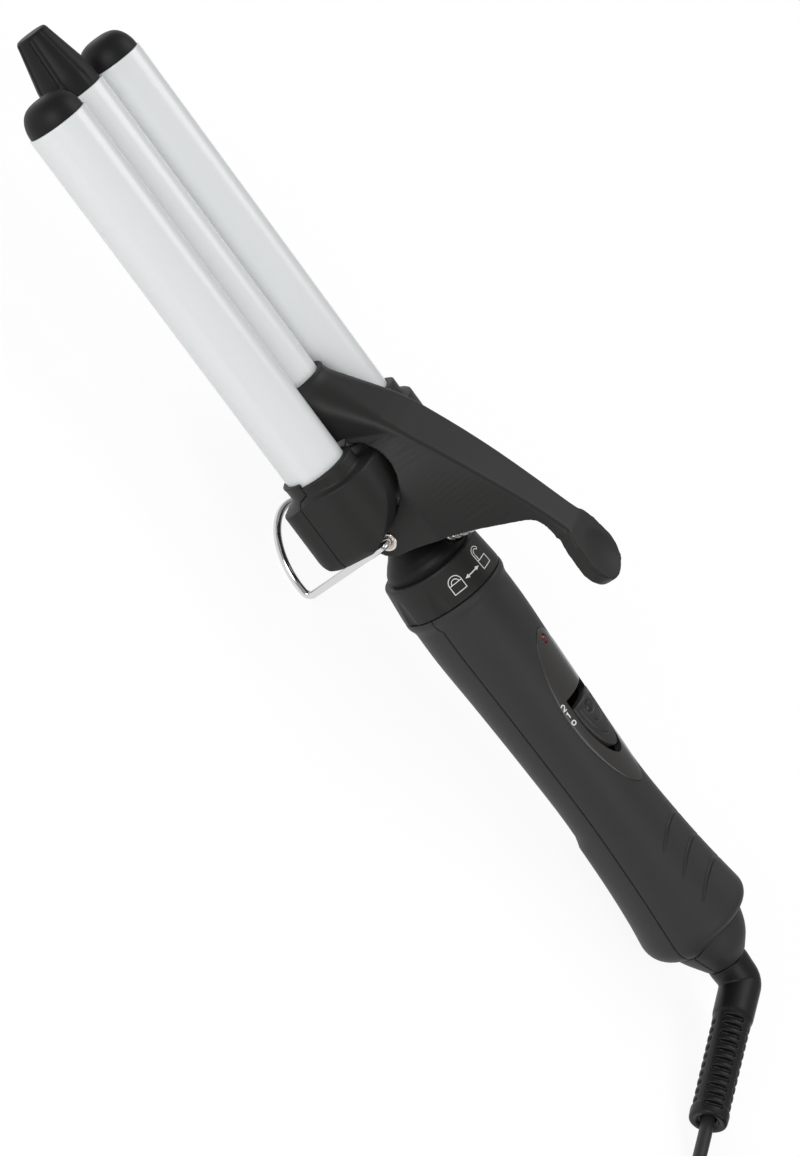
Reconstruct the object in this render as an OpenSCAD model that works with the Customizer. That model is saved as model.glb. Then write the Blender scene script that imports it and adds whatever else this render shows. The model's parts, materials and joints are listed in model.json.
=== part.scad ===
// Triple-barrel hair waver: two fixed barrels and a middle barrel on a sprung lever.
// Built along the tool's own axis (tip at +X, lever up), then tipped onto its stand.

/* [Barrels] */
// Outside diameter of each barrel
barrel_d = 20; // [18:0.5:22]
// Length of each outer barrel that shows
barrel_len = 132; // [110:1:150]
// Wall of the barrel tubes
barrel_wall = 1; // [0.8:0.1:1.5]
// Distance between the axes of the two outer barrels
barrel_pitch = 45.3; // [44:0.1:48]
// How far the closed middle barrel lies below the outer ones
middle_drop = 3.5; // [0:0.5:5]

/* [Handle] */
// Largest radius of the grip, near its rear end
grip_r = 19.5; // [18:0.5:21]
// Radius of the grip at its waist
waist_r = 15.2; // [14:0.2:16]
// Height of the shell joint above the handle axis
seam_z = -1; // [-2:0.5:2]
// Thickness of the moulded walls
wall = 2.2; // [1.8:0.1:2.6]

/* [Lever] */
// Height of the lever pivot above the plane of the outer barrels
pivot_z = 2.8; // [2:0.1:4]
// Radius of the thumb paddle
paddle_r = 11; // [9:0.5:12]
// Thickness of the thumb paddle
paddle_t = 4.7; // [4:0.1:5.5]

/* [Stand] */
// Diameter of the stand's wire
wire_d = 2.6; // [2:0.1:3]
// Distance between the centres of the stand's two legs
leg_span = 41.8; // [41.4:0.1:43]
// How far the legs lean back from upright, in degrees
leg_lean = 2; // [0:0.5:4]
// How far the tool is tipped up on its stand, in degrees
rest_tilt = 4.5; // [4:0.1:5]

/* [Cord] */
// Diameter of the mains cord
cord_d = 4.5; // [4:0.1:5.5]
// Bend of the swivelling strain relief, in degrees
elbow_bend = 75; // [60:1:80]
// Turn of the swivel towards the left-hand side, in degrees from straight down
swivel_turn = 80.5; // [78:0.5:90]

/* [Hidden] */

$fn = 64;
eps = 0.01;
barrel_r = barrel_d / 2;
side_y = barrel_pitch / 2;
middle_z = -middle_drop;
axis_z = -0.8;              // the handle's axis
socket_depth = 18;          // barrel held inside the jaw
lever_socket_x = 6;         // rear end of the middle barrel
pivot_x = -32.3;
ear_in = 16.3;              // inner and outer faces of the lever's ears
ear_out = 18.9;
rivet_r = 2.5;
ring_front_x = -49.7;
ring_rear_x = -62.3;
spigot_r = 15.05;
shoulder_x = -62.6;
rear_x = -219;              // end of the handle
wire_r = wire_d / 2;

// Handle outline, as [place along the axis, radius], from the lock ring to the rear end
grip_keys = [[-67.5, 17.35], [-80, 17.35], [-100, 16.45], [-125, 15.6], [-148, waist_r],
    [-168, 16.2], [-184, 17.6], [-199, grip_r]];
// Extra radius of the underside's finger rest: it starts in a step and fades out
rest_step_x = -155.5;
rest_step = 0.9;

// Lever sections: [x, half width on top, top height, half width at the flanks' foot,
// height of that foot, edge radius on top, edge radius at the foot, end angle, skirt height]
lever_keys = [
    [21.5, 11.55, 8.05, 11.55, -15.05, 11.5, 11.5, -84, -15.05],
    [18.5, 11.55, 9.1, 11.55, -15.05, 11.2, 11.5, -84, -15.05],
    [15, 11.5, 11.4, 11.55, -15.05, 10, 11.5, -84, -15.05],
    [10, 11.4, 14.9, 11.6, -15.05, 8, 11.5, -84, -15.05],
    [5.5, 11.2, 18, 11.7, -15.05, 6, 11.5, -84, -15.05],
    [1, 11, 21, 11.9, -15.05, 4, 11.5, -84, -15.05],
    [-4, 10.9, 24, 13.6, 8, 3.2, 3, 0, -2.5],
    [-9, 10.7, 26.7, 15.6, 11, 2.8, 3, 0, -2.5],
    [-18, 10.2, 31.6, 18, 12, 2.6, 4, 0, -2.5],
    [-27, 9.6, 36.2, 18.9, 12, 2.4, 5, 0, -2.5],
    [-36, 8.8, 40.5, 18.9, 12, 2.2, 5, 0, -2.5],
    [-45, 7.9, 44.6, 18, 12, 2, 5, 0, -2.5],
    [-55, 7.4, 48.7, 17.5, 12, 2, 5, 0, -2.5]];

// ---- placing

function tip_reach() = 155.2 * cos(rest_tilt) - (middle_z - 5) * sin(rest_tilt);
function tail_reach() = (rear_x - 0.4) * cos(rest_tilt) - (axis_z + 7.6) * sin(rest_tilt);
origin_x = (tip_reach() + tail_reach()) / 2;
belly = [-199.9, axis_z - grip_r];
lift = -(belly[0] * sin(rest_tilt) + belly[1] * cos(rest_tilt));

// From the tool's own axes to the standing tool
function standing(p) = [
    p[0] * cos(rest_tilt) - p[2] * sin(rest_tilt) - origin_x,
    p[1],
    p[0] * sin(rest_tilt) + p[2] * cos(rest_tilt) + lift];
module stand_up() translate([-origin_x, 0, lift]) rotate([0, -rest_tilt, 0]) children();
module both_sides() { children(); mirror([0, 1, 0]) children(); }

// ---- shapes

// Smooth curve through the points p, with n steps from each to the next
function smooth(p, n) = concat([for (i = [0:len(p) - 2], k = [0:n - 1])
    let (a = p[max(i - 1, 0)], b = p[i], c = p[i + 1], d = p[min(i + 2, len(p) - 1)], t = k / n)
    (2 * b + (c - a) * t + (2 * a - 5 * b + 4 * c - d) * t * t
        + (3 * b - a - 3 * c + d) * t * t * t) / 2], [p[len(p) - 1]]);

// Solid of revolution about the X axis, of a profile of [x, radius]
module about_x(profile, z = 0, y = 0)
    translate([0, y, z]) rotate([0, 90, 0]) rotate_extrude()
        polygon([for (q = profile) [q[1], q[0]]]);
module rod_x(x0, x1, r, y = 0, z = 0)
    translate([x0, y, z]) rotate([0, 90, 0]) cylinder(h = x1 - x0, r = r);
module rod_y(y0, y1, r, x = 0, z = 0)
    translate([x, y0, z]) rotate([-90, 0, 0]) cylinder(h = y1 - y0, r = r);
module slab(x0, x1, y0, y1, z0, z1) translate([x0, y0, z0]) cube([x1 - x0, y1 - y0, z1 - z0]);
// Side view in x and z, run across the tool
module across(half = 60) rotate([90, 0, 0]) linear_extrude(2 * half, center = true) children();

function arc(c, r, a0, a1, n) =
    [for (i = [0:n]) c + r * [cos(a0 + (a1 - a0) * i / n), sin(a0 + (a1 - a0) * i / n)]];
// Half of a lever section: round top edge, sloping flank, round foot and skirt
function half_section(k, n = 5) =
    let (c1 = [k[1] - k[5], k[2] - k[5]], c2 = [k[3] - k[6], k[4] + k[6]], d = c2 - c1,
        reach = norm(d),
        turn = reach < 0.1 ? 0
            : atan2(d[1], d[0]) + acos(max(-1, min(1, (k[5] - k[6]) / reach))))
    concat(arc(c1, k[5], 90, turn, n), arc(c2, k[6], turn, k[7], n),
        [[k[7] < -45 ? max(0.3, c2[0]) : k[3], k[8]]]);
function ring(k) = let (h = half_section(k), n = len(h))
    concat([for (p = h) [k[0], p[0], p[1]]],
        [for (i = [0:n - 1]) [k[0], -h[n - 1 - i][0], h[n - 1 - i][1]]]);
// Skin over rings of equal counts
module loft(rings) {
    m = len(rings[0]);
    last = len(rings) - 1;
    polyhedron(
        [for (r = rings) each r],
        concat(
            [for (i = [0:last - 1], j = [0:m - 1])
                each let (a = i * m + j, b = i * m + (j + 1) % m)
                    [[a, b, b + m], [a, b + m, a + m]]],
            [[for (j = [m - 1:-1:0]) j]],
            [[for (j = [0:m - 1]) last * m + j]]));
}

// ---- handle

grip_line = smooth(grip_keys, 4);
function rest_bump(x) = x > rest_step_x || x < -190 ? 0
    : x > rest_step_x - 3 ? rest_step * (rest_step_x - x) / 3
    : rest_step * (190 + x) / (190 + rest_step_x - 3);
tail_line = concat(arc([-199.5, grip_r - 8.2], 8.2, 90, 172, 6), [[-208, 13.5], [rear_x, 7.6]]);
function handle_line(bump) = concat([[shoulder_x, 18.2], [-64.3, 18.3], [-65.9, 17.9]],
    [for (q = grip_line) [q[0], q[1] + bump * rest_bump(q[0])]],
    [for (q = tail_line) [q[0] - 0.4, q[1]]]);
function grown(line, by) = [for (q = line) [q[0], q[1] + by]];
module handle_form(bump = 0)
    about_x(concat([[shoulder_x, 0]], handle_line(bump), [[rear_x - 0.4, 0]]), axis_z);
module handle_room()
    about_x([[shoulder_x + eps, 0], [shoulder_x + eps, 13], [-65, 13], [-66.5, 14.9], [-80, 14.9],
        [-100, 14.1], [-148, waist_r - wall], [-168, 13.9], [-196, 16], [-203, 13.4],
        [-210.5, 8.6], [-210.5, 0]], axis_z);
module below_seam() slab(-240, 0, -40, 40, -60, axis_z + seam_z);
module rear_bore() rod_x(rear_x - 1, -205, 7, 0, axis_z);

// Plan of the switch plate: a lens, fuller towards the tip
plate_x = [-87, -148.5];
plate_half_w = 10.3;
function plate_plan(grow = 0) = let (mid = (plate_x[0] + plate_x[1]) / 2,
        half = (plate_x[0] - plate_x[1]) / 2 + grow, steps = 28)
    [for (side = [1, -1], i = [0:steps]) let (a = side > 0 ? 180 * i / steps : 180 - 180 * i / steps,
        u = cos(a)) [mid + half * u, side * (plate_half_w + grow) * sin(a) * (1 + 0.08 * u)]];
module over_plan(points) translate([0, 0, axis_z]) linear_extrude(30) polygon(points);
// The slider's plan: straight in front, a half ellipse behind
slider_front_x = -114;
slider_len = 19.5;
slider_half_w = 7.2;
slider_travel = 2.6;
function bullet(x0, straight, length, half) = concat([[x0, -half], [x0, half]],
    [for (i = [0:20]) let (a = 90 - 9 * i)
        [x0 - straight - length * cos(a), half * sin(a)]]);
slider_plan = bullet(slider_front_x, 0, slider_len, slider_half_w);
slot_plan = bullet(slider_front_x + slider_travel + 0.1, 2 * slider_travel + 0.2,
    slider_len + 0.2, slider_half_w + 0.4);
module plate_layer(from, to) difference() {
    about_x(concat([[-80, 0]], grown(grip_line, to), [[-199, 0]]), axis_z);
    about_x(concat([[-79, 0]], grown(grip_line, from), [[-200, 0]]), axis_z);
}
plate_seat = -1.3;
plate_proud = 0.2;
lens_x = -90.7;
// Three shallow finger grooves across the top of the grip
module grip_grooves() for (x = [-166.5, -178.5, -189.5])
    translate([x, 0, axis_z]) rotate([0, 78, 0]) translate([0, 0, -0.6])
        difference() {
            cylinder(h = 1.2, r = 22);
            translate([0, 0, -1]) cylinder(h = 4, r = 15.2 + (-166.5 - x) * 0.09);
            slab(-30, 30, -30, 30, -30, -29);
            translate([6, 0, -1]) cube([60, 60, 9], center = true);
            for (s = [-1, 1]) translate([-16, s * 24, 0]) cube([60, 28, 9], center = true);
        }

module upper_handle_shell() color("#3b3b3d") difference() {
    handle_form();
    handle_room();
    below_seam();
    rear_bore();
    intersection() { plate_layer(plate_seat, 3); over_plan(plate_plan()); }
    over_plan(slot_plan);
    translate([lens_x, 0, 0]) cylinder(h = 20, r = 1.7);
    grip_grooves();
}
screw_spots = [-104, -176];
screw_seat = -12.2;
module lower_handle_shell() color("#3b3b3d") difference() {
    union() {
        difference() { handle_form(1); handle_room(); }
        for (x = screw_spots) translate([x, 0, -15.6]) cylinder(h = 20, r = 3.9);
    }
    slab(-240, 0, -40, 40, axis_z + seam_z, 60);
    rear_bore();
    for (x = screw_spots) translate([x, 0, -40]) {
        cylinder(h = 40 + screw_seat, r = 2.9);
        cylinder(h = 50, r = 1.4);
    }
}
module pan_screw(length, head_r = 2.7) {
    difference() {
        cylinder(h = 1.8, r = head_r);
        for (a = [0, 90]) rotate(a) cube([3, 0.7, 1.6], center = true);
    }
    translate([0, 0, 1.8 - eps]) cylinder(h = length, r = 1.4);
}
module handle_screws() color("silver") for (x = screw_spots)
    translate([x, 0, screw_seat - 1.85]) pan_screw(9);

module switch_plate() color("#4a4644") difference() {
    intersection() { plate_layer(plate_seat, plate_proud); over_plan(plate_plan(-0.05)); }
    over_plan(slot_plan);
    translate([lens_x, 0, 0]) cylinder(h = 20, r = 1.7);
}
module indicator_lens() color("#7a1512") intersection() {
    translate([lens_x, 0, 10]) cylinder(h = 10, r = 1.65);
    translate([lens_x, 0, 0.5]) sphere(r = 16.2);
}
module switch_body() color("#222222")
    difference() {
        slab(-136, -110, -6, 6, -3, 7);
        slab(-130, -116, -3, 3, 4, 8);
    }
module circuit_board() color("#2f6b3a") difference() {
    union() {
        slab(-142, -88, -9, 9, -5, -3.4);
        for (x = [-98, -94]) rod_x(x, x + 3, 1.5, 0, -6.4);
    }
    translate([screw_spots[0], 0, -10]) cylinder(h = 20, r = 4.2);
}
module switch_slider() color("#3a3735") {
    difference() {
        intersection() { plate_layer(-1.6, 0.5); over_plan(slider_plan); }
        translate([slider_front_x - 6, 0, 17.6]) sphere(r = 3.6);
        for (r = [9.5, 12, 14.5])
            translate([slider_front_x - 1, 0, 0]) difference() {
                cylinder(h = 30, r = r + 0.35);
                translate([0, 0, -1]) cylinder(h = 40, r = r - 0.35);
                slab(-r + 1, 40, -40, 40, -2, 50);
                cylinder(h = 14.6, r = r + 2);
            }
    }
    slab(-125.2, -120.8, -2.2, 2.2, 4.6, 13.4);
}
module swivel_bush() color("#2b2b2c") difference() {
    rod_x(rear_x + 0.2, -211, 7, 0, axis_z);
    rod_x(rear_x - 1, -205, 5.1, 0, axis_z);
}

// ---- lock ring and neck

spring_r = 4;
spring_wire_r = 0.6;
spring_foot = [-43.5, 0, 11.25];
spring_h = 14.2;
spring_turns = 5;

module lock_ring() color("#38383a") difference() {
    about_x([[ring_front_x, spigot_r + 0.07], [ring_front_x, 16.6], [ring_front_x - 0.6, 17],
        [ring_rear_x + 1, 18.15], [ring_rear_x, 18.2], [ring_rear_x, spigot_r + 0.07]], axis_z);
    for (a = [0:45:315]) rotate([a, 0, 0]) rod_x(-66, -40, 6, 0, 23.3);
}
dome_line = [[ring_front_x - 0.1, 14.6], [-48, 14.6], [-46.6, 13.9], [-44.6, 12.4], [-42.8, 10.8],
    [-41.4, 9.8], [-40, 9.5]];
module neck() color("#333334") difference() {
    union() {
        about_x(concat([[-78, 0], [-78, 12], [-66, 12], [-66, 12.9], [ring_rear_x - 0.1, 12.9],
            [ring_rear_x - 0.1, spigot_r], [ring_front_x - 0.1, spigot_r]], dome_line,
            [[-24, 9.5], [-24, 0]]), axis_z);
        rod_y(-16.2, 16.2, 5.3, pivot_x, pivot_z);
    }
    rod_x(-80, -20, 3.5, 0, axis_z - 3.4);
    both_sides() rod_y(8, 20, rivet_r, pivot_x, pivot_z);
    translate([spring_foot[0], 0, spring_foot[2] - 0.05]) cylinder(h = 9, r = spring_r + 1.2);
}

// ---- jaw

jaw_out = 35.5;
jaw_top = 15.8;
jaw_bottom = -14.3;
jaw_rear_x = -30.5;
jaw_face_x = -6.9;
boss_c = [-13.6, 5.1];      // round boss beside the lever, in x and z
boss_r = 12.4;
function mirrored(p) = concat(p, [for (i = [len(p) - 1:-1:0]) [-p[i][0], p[i][1]]]);
jaw_cross = mirrored(concat(arc([21.5, jaw_top - 14], 14, 88, 2, 7),
    arc([jaw_out - 6.5, jaw_bottom + 6.5], 6.5, -2, -88, 4)));
jaw_side = concat([[3, jaw_bottom + 0.05], [3, jaw_top]], arc([-16.2, 1.5], 14.3, 88, 171, 7),
    arc([jaw_rear_x + 4.3, jaw_bottom + 4.3], 4.3, 182, 268, 3), [[-6, jaw_bottom - 0.02]]);
jaw_plan = let (h = concat([[9, jaw_out + 0.2]], arc([-20.5, jaw_out - 10], 10, 92, 178, 5)))
    concat(h, [for (i = [len(h) - 1:-1:0]) [h[i][0], -h[i][1]]]);
// Plan of the room that the lever needs between the two collars
lever_gap = [[12, 12.8], [-0.5, 12.8], [-4, 14.2], [-9, 16.2], [-18, 18.6], [-27, 19.8], [-41, 19.8]];
// Collar of a fixed barrel, flaring into the jaw
module collar(lip) about_x(concat([[-20, 0], [lip, 0], [lip, 11.7], [lip - 0.4, 12.1],
    [lip - 1.3, 11.7]], [for (i = [0:5]) [-2.8 - 4.2 * sin(17 * i), 11.2 + 14 * (1 - cos(17 * i))]],
    [[-20, 25]]), 0, side_y);
module jaw_form(lip) difference() {
    intersection() {
        union() {
            slab(-40, jaw_face_x, -40, 40, -20, 20);
            both_sides() intersection() {
                collar(lip);
                slab(jaw_face_x - 1, 5, 5, 40, -30, 30);
            }
        }
        rotate([90, 0, 90]) linear_extrude(100, center = true) polygon(jaw_cross);
        across() polygon(jaw_side);
        linear_extrude(80, center = true) polygon(jaw_plan);
    }
    both_sides() rod_x(-socket_depth, 10, barrel_r, side_y);
    difference() {
        translate([0, 0, -3.2]) linear_extrude(40)
            polygon(concat(lever_gap, [for (i = [len(lever_gap) - 1:-1:0])
                [lever_gap[i][0], -lever_gap[i][1]]]));
        rod_y(-30, 30, boss_r, boss_c[0], boss_c[1]);
    }
    slab(0.7, 10, -12.8, 12.8, -30, 0);
    rod_x(-40, -24, 9.5, 0, axis_z);
    both_sides() translate([-24, 15, jaw_bottom - 1]) {
        cylinder(h = 3.2, r = 2.9);
        cylinder(h = 11.2, r = 1.4);
    }
}
// The joint of the two jaw halves, stepping down behind the collars
module below_jaw_seam() across() polygon([[10, -1.2], [-2.6, -1.2], [-4, -5], [-50, -5],
    [-50, -40], [10, -40]]);
module jaw_upper() color("#3a3a3b") difference() { jaw_form(0.2); below_jaw_seam(); }
module jaw_lower() color("#3a3a3b") intersection() { jaw_form(1.5); below_jaw_seam(); }
module jaw_screws() color("silver")
    both_sides() translate([-24, 15, jaw_bottom + 0.4]) pan_screw(7.4);

// ---- barrels

module barrel(x0, x1, y, z) color("#eeeeec") difference() {
    rod_x(x0, x1, barrel_r, y, z);
    rod_x(x0 - 1, x1 + 1, barrel_r - barrel_wall, y, z);
}
module outer_barrel(y) barrel(-socket_depth, barrel_len, y, 0);
module tip_cap(y) color("#303031") about_x(concat([[barrel_len - 8, 0],
    [barrel_len - 8, barrel_r - barrel_wall], [barrel_len - 1, barrel_r - barrel_wall],
    [barrel_len - 0.6, 8.7]], [for (i = [0:6]) [barrel_len + 6.6 * sin(12.5 * i) + 0.1,
    3.4 + 5.3 * cos(12.5 * i) * 1]], [[barrel_len + 6.8, 4.2], [barrel_len + 6.9, 0]]), 0, y);
spreader_gap = 2.05;
module heat_spreader(x0, x1, y, z) color("#b9bcc0") difference() {
    rod_x(x0, x1, barrel_r - barrel_wall, y, z);
    slab(x0 - 1, x1 + 1, y - 12, y + 12, z - spreader_gap, z + spreader_gap);
}
module heater(x0, x1, y, z) color("#c9a76a")
    slab(x0, x1, y - 5.5, y + 5.5, z - spreader_gap, z + spreader_gap);

// ---- lever and middle barrel

lever_rear = [[-38.1, -4], [-38.2, 3], [-38.5, 8.5], [-39.2, 14], [-40.4, 20], [-43.1, 26.8],
    [-49.3, 40.1], [-50.5, 42.4], [-52.5, 44], [-56, 44.6], [-90, 44.6], [-90, -40], [-38.1, -40]];
arch_r = 13;
last_key = len(lever_keys) - 1;
module lever_room() loft([for (i = [last_key - 1:-1:5]) let (k = lever_keys[i])
    ring([k[0] > 0 ? -1.5 : k[0], k[1] - wall, k[2] - wall - 0.3, k[3] - wall - 0.4,
        k[0] > 0 ? 6 : k[4], max(0.8, k[5] - wall), k[0] > 0 ? 2 : max(1, k[6] - wall), 0, -20])]);
module paddle_plan() {
    translate([-71, 0]) circle(r = paddle_r);
    polygon([[-52, 7.2], [-58, 9.2], [-64, 10.6], [-71, paddle_r], [-71, -paddle_r],
        [-64, -10.6], [-58, -9.2], [-52, -7.2]]);
}
paddle_top = 50.5;
module lever() color("#3b3b3c") difference() {
    union() {
        difference() {
            loft([for (i = [last_key:-1:0]) ring(lever_keys[i])]);
            lever_room();
            across() polygon(lever_rear);
            across() polygon([[1.2, 8], [1.2, -30], [-60, -30], [-60, pivot_z],
                [-26.9, pivot_z], [-26.9, 8]]);
            rod_y(-40, 40, arch_r, boss_c[0], boss_c[1]);
            rod_y(-ear_in, ear_in, 6.5, pivot_x, pivot_z);
        }
        about_x([[20.4, 11], [20.6, 11.6], [21.2, 12.1], [21.8, 12], [21.8, 11]], middle_z);
        translate([0, 0, paddle_top - paddle_t]) linear_extrude(paddle_t) paddle_plan();
        both_sides() rod_y(ear_in, ear_out, 5.4, pivot_x, pivot_z);
        translate([spring_foot[0], 0, spring_foot[2] + spring_h + 0.1]) cylinder(h = 17, r = 4.8);
    }
    rod_x(lever_socket_x, 40, barrel_r, 0, middle_z);
    rod_x(-4, 40, 4, 0, middle_z);
    rod_y(-40, 40, rivet_r + 0.06, pivot_x, pivot_z);
    translate([-69.5, 0, paddle_top + 30.9]) sphere(r = 32);
}
middle_end = barrel_len + 0.8;
module middle_barrel() barrel(lever_socket_x, middle_end, 0, middle_z);
cone_end = 155.2;
module cool_tip() color("#323233") difference() {
    about_x([[middle_end - 8, 0], [middle_end - 8, barrel_r - barrel_wall],
        [middle_end, barrel_r - barrel_wall], [middle_end, 9.3], [139, 9.1], [cone_end - 0.7, 5.4],
        [cone_end, 5], [cone_end, 0]], middle_z);
    for (i = [0:6]) translate([0, 0, middle_z]) rotate([18.5 + i * 360 / 7, 0, 0])
        translate([136.5, 0, 8.9]) rotate([0, 78.5, 0]) {
            cylinder(h = 17.5, r = 0.7, $fn = 16);
            sphere(r = 0.7, $fn = 16);
        }
}
// Flat hollow rivets: the lever turns on them and the stand's ends turn in them
module pivot_rivets() color("#cfc9c2") both_sides() difference() {
    union() {
        rod_y(8, ear_out + 0.1, rivet_r, pivot_x, pivot_z);
        rod_y(ear_out + 0.05, ear_out + 0.6, 3.2, pivot_x, pivot_z);
    }
    rod_y(0, 30, wire_r + 0.05, pivot_x, pivot_z);
    translate([pivot_x, ear_out + 0.7, pivot_z]) rotate([90, 0, 0]) cylinder(h = 1.2, r1 = 2.2, r2 = 1.3);
}
// Compression spring between the neck and the lever
module lever_spring() color("silver") {
    steps = 14 * spring_turns;
    sides = 6;
    loft_tube([for (i = [0:steps]) let (a = 360 * spring_turns * i / steps)
        spring_foot + [spring_r * cos(a), spring_r * sin(a),
            spring_wire_r + (spring_h - 2 * spring_wire_r) * i / steps]], spring_wire_r, sides);
}

// ---- tubes swept along points

function unit(v) = v / norm(v);
function heading(p, i) = unit(p[min(i + 1, len(p) - 1)] - p[max(i - 1, 0)]);
module loft_tube(p, r, sides) loft([for (i = [0:len(p) - 1])
    let (t = heading(p, i), side = unit(cross([0, 0, 1], t)), up = cross(t, side))
    [for (j = [0:sides - 1]) let (a = -360 * j / sides) p[i] + r * (cos(a) * side + sin(a) * up)]]);

// ---- wire stand, built upright about the pivot

pivot_at = standing([pivot_x, 0, pivot_z]);
leg_y = leg_span / 2;
top_bend = 2.4;
foot_bend = 2.4;
leg_drop = (pivot_at[2] - wire_r) / cos(leg_lean);
foot_turn = 90 + leg_lean;
foot_back = foot_bend * tan(foot_turn / 2);
foot_x = foot_back - leg_drop * sin(leg_lean);
wire_sides = 32;
module bent_wire(radius, angle) rotate_extrude(angle = angle)
    translate([radius, 0]) circle(r = wire_r, $fn = wire_sides);
module straight_wire(length) cylinder(h = length, r = wire_r, $fn = wire_sides);
// The wire is a trace fuller where the foot's bend meets the straight leg and the loop
module wire_corner() sphere(r = wire_r + 0.03, $fn = wire_sides);
module stand_leg() {
    rotate([0, leg_lean, 0]) {
        translate([0, 9, 0]) rotate([-90, 0, 0]) straight_wire(leg_y - top_bend - 9);
        translate([0, leg_y - top_bend, -top_bend]) rotate([0, -90, 0]) bent_wire(top_bend, 90);
        translate([0, leg_y, foot_back - leg_drop]) straight_wire(leg_drop - foot_back - top_bend);
    }
    translate([foot_x, leg_y, wire_r + foot_bend - pivot_at[2]]) rotate([90, 0, 0])
        rotate([0, 0, 270 - foot_turn]) {
            bent_wire(foot_bend, foot_turn);
            for (a = [0, foot_turn]) rotate(a) translate([foot_bend, 0, 0]) wire_corner();
        }
}
module wire_stand() color("#c8ccd0") translate(pivot_at) {
    both_sides() stand_leg();
    translate([foot_x, 0, wire_r - pivot_at[2]]) rotate(-90) bent_wire(leg_y, 180);
}

// ---- swivelling strain relief

elbow_x = -229.5;
elbow_r = 8;                // radius of the bend's centre line
relief_reach = 55.6;        // from the bend's corner to the end face
relief_r = [6.8, 6.2];
slot_pitch = 3.35;
relief_roll = -35;
bend_back = elbow_r * tan(elbow_bend / 2);
module relief_slots(first, count) for (i = [0:count - 1], s = [-1, 1])
    translate([0, s * 6.4, first + i * slot_pitch]) cube([6.6, 4.6, 1.6], center = true);
module strain_relief() color("#2e2e2f") translate([0, 0, axis_z]) rotate([swivel_turn, 0, 0]) {
    difference() {
        union() {
            about_x([[-209, 0], [-209, 6.5], [-210.9, 6.5], [-210.9, 5.02], [rear_x - 0.7, 5.02],
                [rear_x - 0.7, 7.2], [rear_x - 3, 7.2], [elbow_x + bend_back, relief_r[0]],
                [elbow_x + bend_back, 0]]);
            translate([elbow_x + bend_back, 0, -elbow_r]) rotate([90, 0, 0]) rotate([0, 0, 90]) {
                rotate_extrude(angle = elbow_bend) translate([elbow_r, 0]) circle(r = relief_r[0]);
                for (a = [0, elbow_bend]) rotate(a) translate([elbow_r, 0, 0])
                    sphere(r = relief_r[0] + 0.05);
            }
            translate([elbow_x, 0, 0]) rotate([0, -90 - elbow_bend, 0]) difference() {
                translate([0, 0, bend_back])
                    cylinder(h = relief_reach - bend_back, r1 = relief_r[0], r2 = relief_r[1]);
                rotate([0, 0, relief_roll]) {
                    relief_slots(13.5, 11);
                    rotate([0, 0, 90]) relief_slots(13.5 + slot_pitch / 2, 10);
                }
                translate([0, 0, relief_reach - 3]) difference() {
                    cylinder(h = 4, r = 4.4);
                    cylinder(h = 9, r = cord_d / 2 + 0.2, center = true);
                }
            }
        }
        rod_x(-215, -200, 3, 0, 0);
    }
}

// ---- cord, coil and plug, lying beside the handle's rear end

coil_c = [-246, 80];
coil_mid_r = 22.5;
coil_w = 13.6;
coil_h = 18.2;
// Where the cord leaves the strain relief, and its way to the coil
lead_route = [[-210.51, 53.26, 7.1], [-211.8, 57.8, 6.2], [-213.7, 64.5, 4.7], [-215.2, 70, 3.6]];
tail_route = [[-258.8, 110.4, 9.4], [-261.3, 113.5, 8.6], [-263, 120, 7.4], [-261.3, 126.5, 6.9],
    [-256.5, 131.3, 6.9], [-250, 133, 6.9], [-248, 133, 6.9]];
module cord_tube(route) color("#252526") loft_tube(smooth(route, 2), cord_d / 2, 10);
module cord_lead() cord_tube(lead_route);
module cord_tail() cord_tube(tail_route);
module cord_coil() color("#252526") translate([coil_c[0], coil_c[1], 0]) rotate_extrude()
    translate([coil_mid_r - coil_w / 2, 0]) {
        translate([1.5, 0]) square([coil_w - 3, coil_h]);
        translate([0, 1.5]) square([coil_w, coil_h - 3]);
        for (x = [1.5, coil_w - 1.5], z = [1.5, coil_h - 1.5]) translate([x, z]) circle(r = 1.5);
    }
// Strap over the coil's turns
tie_at = -90;
module coil_tie() color("#1d1d1e") translate([coil_c[0], coil_c[1], 0]) rotate(tie_at)
    translate([coil_mid_r, 0, 0]) difference() {
        translate([0, 0, coil_h / 2 + 0.4]) cube([coil_w + 2.6, 6, coil_h + 0.8], center = true);
        translate([0, 0, coil_h / 2 - 1]) cube([coil_w + 1, 8, coil_h + 2.2], center = true);
    }
plug_turn = 180;
module plug_place() translate(tail_route[len(tail_route) - 1]) rotate([0, 0, plug_turn]) children();
module mains_plug() color("#252526") plug_place() difference() {
    union() {
        rod_x(-22, 0.5, 3.4);
        intersection() {
            translate([-55, -17.6, -6.85]) cube([33.5, 35.2, 13.7]);
            linear_extrude(20, center = true) polygon([[-56, -17.6], [-34, -17.6], [-30, -16],
                [-22, -6], [-21.5, -6], [-21.5, 6], [-22, 6], [-30, 16], [-34, 17.6], [-56, 17.6]]);
        }
    }
    rod_x(-1, 1, cord_d / 2);
}
module plug_pins() color("silver") plug_place() for (s = [-1, 1]) rod_x(-74, -55, 2, s * 9.5);

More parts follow.
